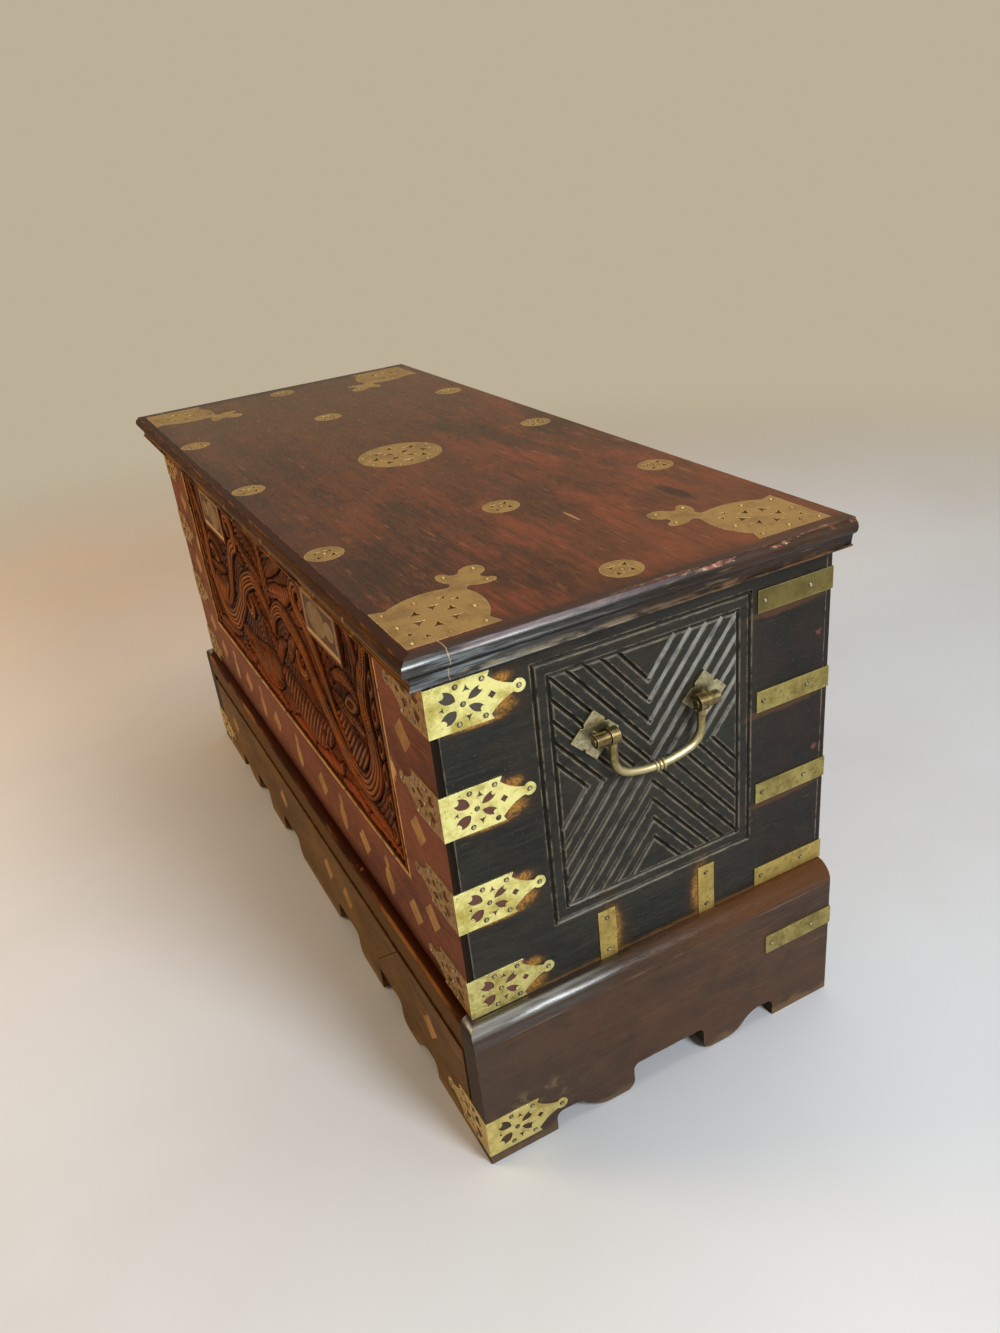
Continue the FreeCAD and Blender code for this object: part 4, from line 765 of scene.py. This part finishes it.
FINISHES = [
    (lid_finish, ["lid_board"]),
    (end_moulding_finish, ["right_lid_moulding", "left_lid_moulding"]),
    (front_moulding_finish, ["lid_front_moulding"]),
    (end_finish, ["right_end_board", "left_end_board"]),
    (front_finish, ["front_board"]),
    (plinth_side_finish, ["right_plinth_side", "left_plinth_side"]),
    (plinth_front_finish, ["right_plinth_front", "left_plinth_front", "drawer_front"]),
    (rail_finish, ["plinth_top_rail"]),
    (strap_finish, ["right_front_corner_straps", "left_front_corner_straps"]),
    (plinth_strap_finish, ["right_plinth_front_strap", "left_plinth_front_strap"]),
    (dull_strap_finish, ["right_back_corner_straps", "left_back_corner_straps", "plinth_back_straps",
                         "end_upright_straps"]),
    (mount_finish, ["right_lid_front_mount", "left_lid_front_mount", "right_lid_back_mount",
                    "left_lid_back_mount", "lid_centre_roundel", "lid_small_roundels"]),
    (front_inlay_finish, ["front_lozenges", "front_fleurs", "drawer_lozenges"]),
    (tablet_finish, ["front_tablet_frames"]),
    (stringing_finish, ["front_stringing"]),
    (handle_finish, ["right_handle_bail", "left_handle_bail", "right_handle_posts", "left_handle_posts",
                     "handle_stars", "handle_pivot_pins", "handle_roves"]),
    (hinge_finish, ["right_hinge_body_leaf", "left_hinge_body_leaf", "right_hinge_lid_leaf",
                    "left_hinge_lid_leaf", "hinge_pins", "hinge_body_screws", "hinge_lid_screws"]),
]
INNER_X = ["back_board", "floor_board", "plinth_back", "drawer_back", "drawer_bottom"]
INNER_Y = ["right_drawer_guide", "left_drawer_guide", "right_drawer_runner", "left_drawer_runner",
           "right_drawer_side", "left_drawer_side"]


def assign(material, names):
    """Gives these nodes one material."""
    for name in names:
        slots = nodes[name].data.materials
        slots.clear()
        slots.append(material)


def dress_nodes():
    """Gives every piece of the chest its finish."""
    for finish, names in FINISHES:
        assign(finish(), names)
    assign(inner_finish("inner_dry_wood_long", "X", 10.0), INNER_X)
    assign(inner_finish("inner_dry_wood_deep", "Y", 11.0), INNER_Y)
    assign(pin_finish("strap_pin_brass", tone(74, 68, 58), tone(206, 196, 160)), ["strap_pins"])
    assign(pin_finish("lid_pin_brass", tone(140, 114, 70), tone(214, 192, 140)), ["lid_pins"])


# Carved field of the front, drawn in millimetres for its right half and mirrored. Heights are above
# the floor of the recess.
FIELD_STEP = 1.0
RECESS = 7.0
GROUND = 4.0
CUT_FLOOR = 0.5
CUT_WIDTH = 3.0
LOWEST_CUT = 0.3
TOP_OF_CARVING = 6.4
COMB_DEPTH = 2.6
EYE_DEPTH = 3.6
VEIN_DEPTH = 1.8
VEIN_WIDTH = 1.2
BEDDING = 0.4
TABLET_MARGIN = 3.4
field_half = line_high.x / MM - 12.0
field_base = line_low.z / MM + 3.0
field_top = line_high.z / MM


def smooth_line(points, count=160):
    """Catmull-Rom line through points, evenly sampled in its own parameter."""
    spots = np.array([points[0], *points, points[-1]], float)
    spans = len(points) - 1
    line = []
    for share in np.linspace(0, spans, count):
        index = min(int(share), spans - 1)
        t = share - index
        a, b, c, d = spots[index:index + 4]
        line.append(0.5 * (2 * b + (c - a) * t + (2 * a - 5 * b + 4 * c - d) * t ** 2
                           + (3 * b - a - 3 * c + d) * t ** 3))
    return np.array(line)


class Relief:
    """Height of the carving above the floor of its recess, on a grid of the right half."""

    def __init__(self, x, z):
        self.x = x
        self.z = z
        self.height = np.full(x.shape, GROUND)

    def along(self, line):
        """Distance from a line, the side it is on, and how far along the line the nearest point is."""
        spots = np.stack([self.x, self.z], -1)
        best = np.full(self.x.shape, 1e9)
        share = np.zeros(self.x.shape)
        offset = np.zeros(self.x.shape)
        tangents = np.gradient(line, axis=0)
        tangents /= np.linalg.norm(tangents, axis=1)[:, None]
        for index, (spot, way) in enumerate(zip(line, tangents)):
            gap = spots - spot
            far = np.hypot(gap[..., 0], gap[..., 1])
            closer = far < best
            best = np.where(closer, far, best)
            share = np.where(closer, index / (len(line) - 1), share)
            side = way[0] * gap[..., 1] - way[1] * gap[..., 0]
            offset = np.where(closer, side, offset)
        return best, offset, share

    def lens(self, place, half_long, half_wide, angle):
        """Below 1 inside a pointed oval, with its share across for veins."""
        turn = math.radians(angle)
        dx = self.x - place[0]
        dz = self.z - place[1]
        along = (dx * math.cos(turn) + dz * math.sin(turn)) / half_long
        wide = (dz * math.cos(turn) - dx * math.sin(turn)) / half_wide
        return np.abs(wide) + along ** 2, along, wide

    def dome(self, high, across):
        """Rounded height: full where across is 0, down at the ground where it is 1."""
        return GROUND + (high - GROUND) * np.sqrt(np.clip(1 - across ** 2, 0, 1))

    def raise_to(self, height, inside, gap):
        """Sets a raised shape over what is there, with a cut round it."""
        cut = np.clip(1 - gap / CUT_WIDTH, 0, 1) * ~inside
        self.height -= cut * np.maximum(self.height - CUT_FLOOR, 0)
        self.height = np.where(inside, height, self.height)

    def flow(self, points, pitch, depth):
        """Fine ridges that follow a line all over the ground."""
        far = self.along(smooth_line(points))[0]
        ridge = np.abs(np.sin(np.pi * far / pitch))
        self.height -= depth * (1 - ridge) ** 1.6

    def stem(self, points, half, high, groove=1.6, ridges=1.25):
        """Rounded band with grooves along it: ridges is how many fit in half of its width."""
        far, _, share = self.along(smooth_line(points))
        taper = half * (0.4 + 0.6 * np.sin(np.pi * np.clip(share, 0.04, 0.96)) ** 0.7)
        across = far / taper
        body = self.dome(high, across * 0.9) - groove * np.sin(np.pi * across * ridges) ** 8
        self.raise_to(body, across < 1, far - taper)

    def leaf(self, points, half, high, pitch, lean=0.9, teeth=0.16, bias=0.8, rib=1.9):
        """Pointed leaf along a line, with slanted ribs, toothed edges and a vein down its middle."""
        line = smooth_line(points)
        far, offset, share = self.along(line)
        run = share * np.linalg.norm(np.diff(line, axis=0), axis=1).sum()
        width = half * np.sin(np.pi * np.clip(share, 0.004, 0.996) ** bias) ** 0.8
        phase = (run - np.abs(offset) * lean) / pitch
        saw = phase - np.floor(phase)
        width = width * (1 - teeth * saw)
        across = far / np.maximum(width, 0.01)
        body = self.dome(high, across) - rib * saw ** 1.6 * np.clip(across * 1.6, 0, 1)
        body -= VEIN_DEPTH * np.exp(-(offset / VEIN_WIDTH) ** 2) * np.clip(1.1 - share, 0, 1)
        self.raise_to(body, across < 1, far - width)

    def comb(self, points, half, high, pitch, angle):
        """Broad lobe with straight slanted ribs."""
        far, _, share = self.along(smooth_line(points))
        width = half * np.sin(np.pi * np.clip(share, 0.01, 0.99) ** 0.75) ** 0.55
        across = far / np.maximum(width, 0.01)
        turn = math.radians(angle)
        phase = (self.x * math.cos(turn) + self.z * math.sin(turn)) / pitch
        rib = np.abs(np.sin(np.pi * phase))
        inward = np.clip((1 - across) * 6, 0, 1)
        body = self.dome(high, across) - COMB_DEPTH * (1 - rib) ** 1.3 * inward
        self.raise_to(body, across < 1, far - width)

    def bud(self, place, half_long, half_wide, angle, high, eye):
        """Pointed oval leaflet with a cut eye."""
        lens, along, wide = self.lens(place, half_long, half_wide, angle)
        hollow = np.abs(wide) / eye + (along / eye) ** 2
        body = self.dome(high, np.clip(lens, 0, 1)) - EYE_DEPTH * np.sqrt(np.clip(1 - hollow, 0, 1))
        self.raise_to(body, lens < 1, (lens - 1) * half_wide)

    def pocket(self, place, half_long, half_wide, angle, depth):
        """Pointed oval cut down into what is there."""
        lens = self.lens(place, half_long, half_wide, angle)[0]
        self.height -= depth * np.clip(1 - lens, 0, 1) ** 0.4


MAIN_STEM = [(0, 340), (14, 362), (47, 377), (80, 368), (110, 352), (130, 328), (155, 308), (180, 289),
             (202, 277), (240, 273), (262, 288), (278, 312), (280, 337), (273, 370), (279, 397), (291, 417),
             (301, 446)]
TABLET_STEM = [(128, 410), (136, 418), (132, 429), (118, 430), (108, 418), (112, 402), (132, 392),
               (150, 374), (164, 350), (182, 322), (206, 300)]


def carve_borders(relief):
    """Long leaves along the foot and leaflets up the outer edge."""
    for start, end in ((8, 92), (80, 172), (158, 246), (230, 316)):
        relief.leaf([(start, 236), ((start + end) / 2, 241), (end, 236)], 6.5, 5.7, 10.0, rib=1.2)
    relief.leaf([(182, 264), (226, 254), (270, 250), (312, 246)], 7.5, 5.9, 10.0, rib=1.2)
    for index in range(7):
        relief.bud((300 + 2 * (index % 2), 432 - 29 * index), 16, 7.0, 76, 5.9, 0.5)
    relief.stem([(316, 232), (314, 290), (317, 340), (314, 400), (316, 448)], 3.8, 6.0, 0.0)


def carve_centre(relief):
    """Fan of leaves in the middle, and the long leaf that runs out to the tablet."""
    relief.leaf([(10, 386), (40, 392), (76, 402), (114, 422)], 12, 5.9, 8.5)
    relief.leaf([(10, 404), (34, 418), (62, 430), (96, 446)], 9, 5.6, 8.0)
    relief.leaf([(0, 366), (1, 392), (0, 420), (0, 447)], 10, 6.0, 7.5)
    relief.leaf([(84, 386), (104, 388), (124, 398), (138, 416)], 9, 5.7, 7.0)
    relief.leaf([(0, 300), (8, 316), (24, 330), (46, 338)], 9, 5.8, 6.5)


def carve_left_bowl(relief):
    """Ring scroll over a combed lobe, with a curling leaf at its foot."""
    relief.comb([(6, 290), (52, 272), (104, 268), (154, 286)], 26, 6.0, 7.4, -38)
    turns = np.linspace(0, 2 * math.pi, 13)
    ring = [(94 + 13 * math.cos(turn), 338 + 14 * math.sin(turn)) for turn in turns]
    relief.stem(ring, 6.5, 6.2)
    relief.bud((94, 338), 6, 4, 40, 5.8, 0.5)
    relief.leaf([(42, 318), (58, 340), (74, 352), (92, 358)], 9, 5.9, 6.5)
    relief.leaf([(128, 258), (142, 246), (160, 248), (172, 262)], 8, 5.9, 6.0)
    relief.pocket((128, 274), 12, 4, 30, 3.4)


def carve_right_bowl(relief):
    """Slanted ribs under an eyed bud, small notches beside them and a plain leaf by the tablet."""
    relief.comb([(188, 324), (208, 308), (238, 302), (272, 318)], 26, 6.2, 6.6, -42)
    relief.leaf([(190, 346), (216, 340), (246, 338), (274, 336)], 8, 6.0, 6.5)
    relief.leaf([(192, 366), (218, 374), (246, 374), (268, 360)], 8, 5.9, 6.5)
    relief.bud((237, 355), 22, 9, 20, 6.2, 0.55)
    relief.leaf([(262, 386), (266, 404), (264, 424), (256, 446)], 10, 5.4, 60.0, rib=0.0, teeth=0.0)
    for row in range(4):
        for column in range(3):
            relief.pocket((172 + 11 * column - 3 * row, 352 + 12 * row - 4 * column), 4.6, 2.2, 35, 2.8)
    relief.pocket((262, 306), 13, 4.5, 55, 3.6)


def carve(relief):
    """Scrolling stem with ribbed leaves in its two bowls."""
    relief.flow(MAIN_STEM, 6.5, 1.9)
    carve_borders(relief)
    carve_centre(relief)
    carve_left_bowl(relief)
    carve_right_bowl(relief)
    relief.stem(TABLET_STEM, 10.0, 6.2, 2.4, 1.5)
    relief.stem(MAIN_STEM, 14.0, 6.3, 2.6, 2.5)


def chisel_marks(shape, seed, size, amount):
    """Slow uneven facets, as a gouge leaves them."""
    draw = np.random.default_rng(seed)
    coarse = draw.normal(size=(shape[0] // size + 3, shape[1] // size + 3))
    rows = np.linspace(0, coarse.shape[0] - 2.001, shape[0])
    columns = np.linspace(0, coarse.shape[1] - 2.001, shape[1])
    r = rows.astype(int)
    c = columns.astype(int)
    fr = (rows - r)[:, None]
    fc = (columns - c)[None, :]
    blend = (coarse[r][:, c] * (1 - fr) * (1 - fc) + coarse[r + 1][:, c] * fr * (1 - fc)
             + coarse[r][:, c + 1] * (1 - fr) * fc + coarse[r + 1][:, c + 1] * fr * fc)
    return blend * amount


def cells_outside_tablets(x, z):
    """Which cells of the grid are carved: all but those round the two tablets."""
    middle_x = (x[:-1] + x[1:]) / 2
    middle_z = (z[:-1] + z[1:]) / 2
    from_tablet = np.abs(np.abs(middle_x) - tablet_middle / MM)
    in_x = from_tablet < tablet_length / 2 / MM + TABLET_MARGIN
    in_z = (middle_z > tablet_low.z / MM - TABLET_MARGIN) & (middle_z < tablet_high.z / MM + TABLET_MARGIN)
    return ~(in_z[:, None] & in_x[None, :])


def carved_mesh(x, z, height, keep):
    """Closed mesh over the kept cells: relief in front, flat behind, bedded in the floor of the recess."""
    floor_y = coffer_front + RECESS * MM
    mesh = bmesh.new()
    grid = {}
    for row in range(len(z)):
        for column in range(len(x)):
            around = keep[max(row - 1, 0):row + 1, max(column - 1, 0):column + 1]
            if around.any():
                spot = (x[column] * MM, floor_y - height[row, column] * MM, z[row] * MM)
                grid[row, column] = mesh.verts.new(spot)
    for row in range(len(z) - 1):
        for column in range(len(x) - 1):
            if keep[row, column]:
                corners = [(row, column), (row, column + 1), (row + 1, column + 1), (row + 1, column)]
                mesh.faces.new([grid[corner] for corner in corners])
    rims = [edge for edge in mesh.edges if edge.is_boundary]
    skirt = bmesh.ops.extrude_edge_only(mesh, edges=rims)["geom"]
    skirt_verts = [item for item in skirt if isinstance(item, bmesh.types.BMVert)]
    for vert in skirt_verts:
        vert.co.y = floor_y + BEDDING * MM
    back_rims = [edge for edge in mesh.edges if edge.is_boundary]
    bmesh.ops.triangle_fill(mesh, use_beauty=True, use_dissolve=False, edges=back_rims)
    bmesh.ops.recalc_face_normals(mesh, faces=mesh.faces)
    data = bpy.data.meshes.new("front_carving")
    mesh.to_mesh(data)
    mesh.free()
    data.shade_smooth()
    return data


def build_carving():
    """Carved field of the front, open round the two tablets. It rides on the chest."""
    columns = int(round(2 * field_half / FIELD_STEP)) + 1
    rows = int(round((field_top - field_base) / FIELD_STEP)) + 1
    x = np.linspace(-field_half, field_half, columns)
    z = np.linspace(field_base, field_top, rows)
    grid_x, grid_z = np.meshgrid(x, z)
    relief = Relief(np.abs(grid_x), grid_z)
    carve(relief)
    height = relief.height + chisel_marks(grid_x.shape, seed=7, size=6, amount=0.14)
    height = np.clip(height, LOWEST_CUT, TOP_OF_CARVING)
    data = carved_mesh(x, z, height, cells_outside_tablets(x, z))
    carving = bpy.data.objects.new("front_carving", data)
    bpy.context.scene.collection.objects.link(carving)
    data.materials.append(carving_finish())
    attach(carving, "chest")


def round_arrises():
    """Slightly broken edges on the boards, as planed wood has."""
    boards = {"lid_board": 0.6, "front_board": 0.6, "right_plinth_side": 1.8, "left_plinth_side": 1.8,
              "right_plinth_front": 1.2, "left_plinth_front": 1.2, "drawer_front": 0.9,
              "plinth_top_rail": 0.8}
    for name, width in boards.items():
        weld = nodes[name].modifiers.new("weld", "WELD")
        weld.merge_threshold = 0.00001
        bevel = nodes[name].modifiers.new("arris", "BEVEL")
        bevel.width = width * MM
        bevel.segments = 3
        bevel.limit_method = "ANGLE"
        bevel.angle_limit = math.radians(40)


BACKDROP = tone(188, 176, 152)


def floor_finish():
    """Pale floor with painted warm light towards the left, that fades into the backdrop far from the chest.
    """
    floor = Finish("pale_floor")
    # Warmer towards the left: painted warm light.
    warm = (floor.x * 0.8 + floor.y * 0.3).step(0.2, -1.6)
    even = floor.mix(warm, tone(216, 219, 225), tone(218, 192, 168))
    colour = floor.mix(floor.noise(2.5, seed=3.0).step(0.4, 0.7) * 0.4, even, tone(202, 200, 199))
    floor.dress({"Base Color": colour, "Roughness": 0.6})
    away = (floor.x * floor.x + floor.y * floor.y).root()
    seen = floor.node("LightPath", output="Is Camera Ray")
    haze = floor.node("Emission", {}, {"Color": BACKDROP})
    lit = Value(floor, floor.shader.outputs[0])
    blend = floor.node("MixShader", {}, {0: away.step(1.1, 2.4) * seen, 1: lit, 2: haze})
    floor.plug(floor.tree.nodes["Material Output"].inputs["Surface"], blend)
    return floor.material


def build_floor():
    """Flat floor under the chest, stage only."""
    reach = 9.0
    mesh = bpy.data.meshes.new("floor")
    corners = [(-reach, -reach, 0), (reach, -reach, 0), (reach, reach, 0), (-reach, reach, 0)]
    mesh.from_pydata(corners, [], [(0, 1, 2, 3)])
    mesh.materials.append(floor_finish())
    floor = bpy.data.objects.new("floor", mesh)
    bpy.context.scene.collection.objects.link(floor)


def soft_light(name, place, aim, size, power, colour):
    """Round area lamp at a place, turned towards its aim."""
    lamp = bpy.data.lights.new(name, "AREA")
    lamp.shape = "DISK"
    lamp.size = size
    lamp.energy = power
    lamp.color = colour
    holder = bpy.data.objects.new(name, lamp)
    holder.location = place
    holder.rotation_mode = "QUATERNION"
    holder.rotation_quaternion = (Vector(aim) - Vector(place)).to_track_quat("-Z", "Y")
    bpy.context.scene.collection.objects.link(holder)


def build_lights():
    """Cool window light on the near end, warm lamp on the carved front, soft light from above."""
    soft_light("window_right", (2.3, 0.5, 1.7), (0.2, 0, 0.25), 0.8, 48.0, (0.92, 0.97, 1.0))
    soft_light("lamp_left", (-1.2, -2.2, 1.3), (0, 0, 0.25), 1.2, 40.0, (1.0, 0.72, 0.42))
    soft_light("overhead", (0.1, 0.5, 2.8), (0, 0, 0.3), 2.0, 28.0, (1.0, 0.96, 0.9))


def build_world():
    """Even ambient light. The camera and mirror-like metal see the plain backdrop instead."""
    world = bpy.data.worlds.new("studio")
    world.use_nodes = True
    studio = Nodes(world.node_tree)
    seen = studio.node("LightPath", output="Is Camera Ray")
    mirrored = studio.node("LightPath", output="Is Glossy Ray")
    ambient = studio.node("Background", {}, {"Color": tone(226, 214, 194), "Strength": 0.3})
    backdrop = studio.node("Background", {}, {"Color": BACKDROP, "Strength": 1.0})
    choice = studio.node("MixShader", {}, {0: seen.most(mirrored), 1: ambient, 2: backdrop})
    studio.plug(studio.tree.nodes["World Output"].inputs["Surface"], choice)
    bpy.context.scene.world = world


def build_camera():
    """Camera at the photograph's place, aim and roll."""
    place = Vector((1.00613, -0.38733, 0.78128))
    forward = Vector((-0.80589, 0.37543, -0.45781)).normalized()
    roll = math.radians(-6.492)
    level = forward.cross(Vector((0, 0, 1))).normalized()
    upright = level.cross(forward)
    right = level * math.cos(roll) + upright * math.sin(roll)
    up = right.cross(forward)
    lens = bpy.data.cameras.new("camera")
    lens.lens = 28.197
    lens.sensor_width = 36.0
    lens.clip_start = 0.01
    holder = bpy.data.objects.new("camera", lens)
    turn = Matrix((right, up, -forward)).transposed().to_4x4()
    holder.matrix_world = Matrix.Translation(place) @ turn
    bpy.context.scene.collection.objects.link(holder)
    bpy.context.scene.camera = holder


dress_nodes()
build_carving()
round_arrises()
build_floor()
build_lights()
build_world()
build_camera()
bpy.context.scene.view_settings.view_transform = "Standard"
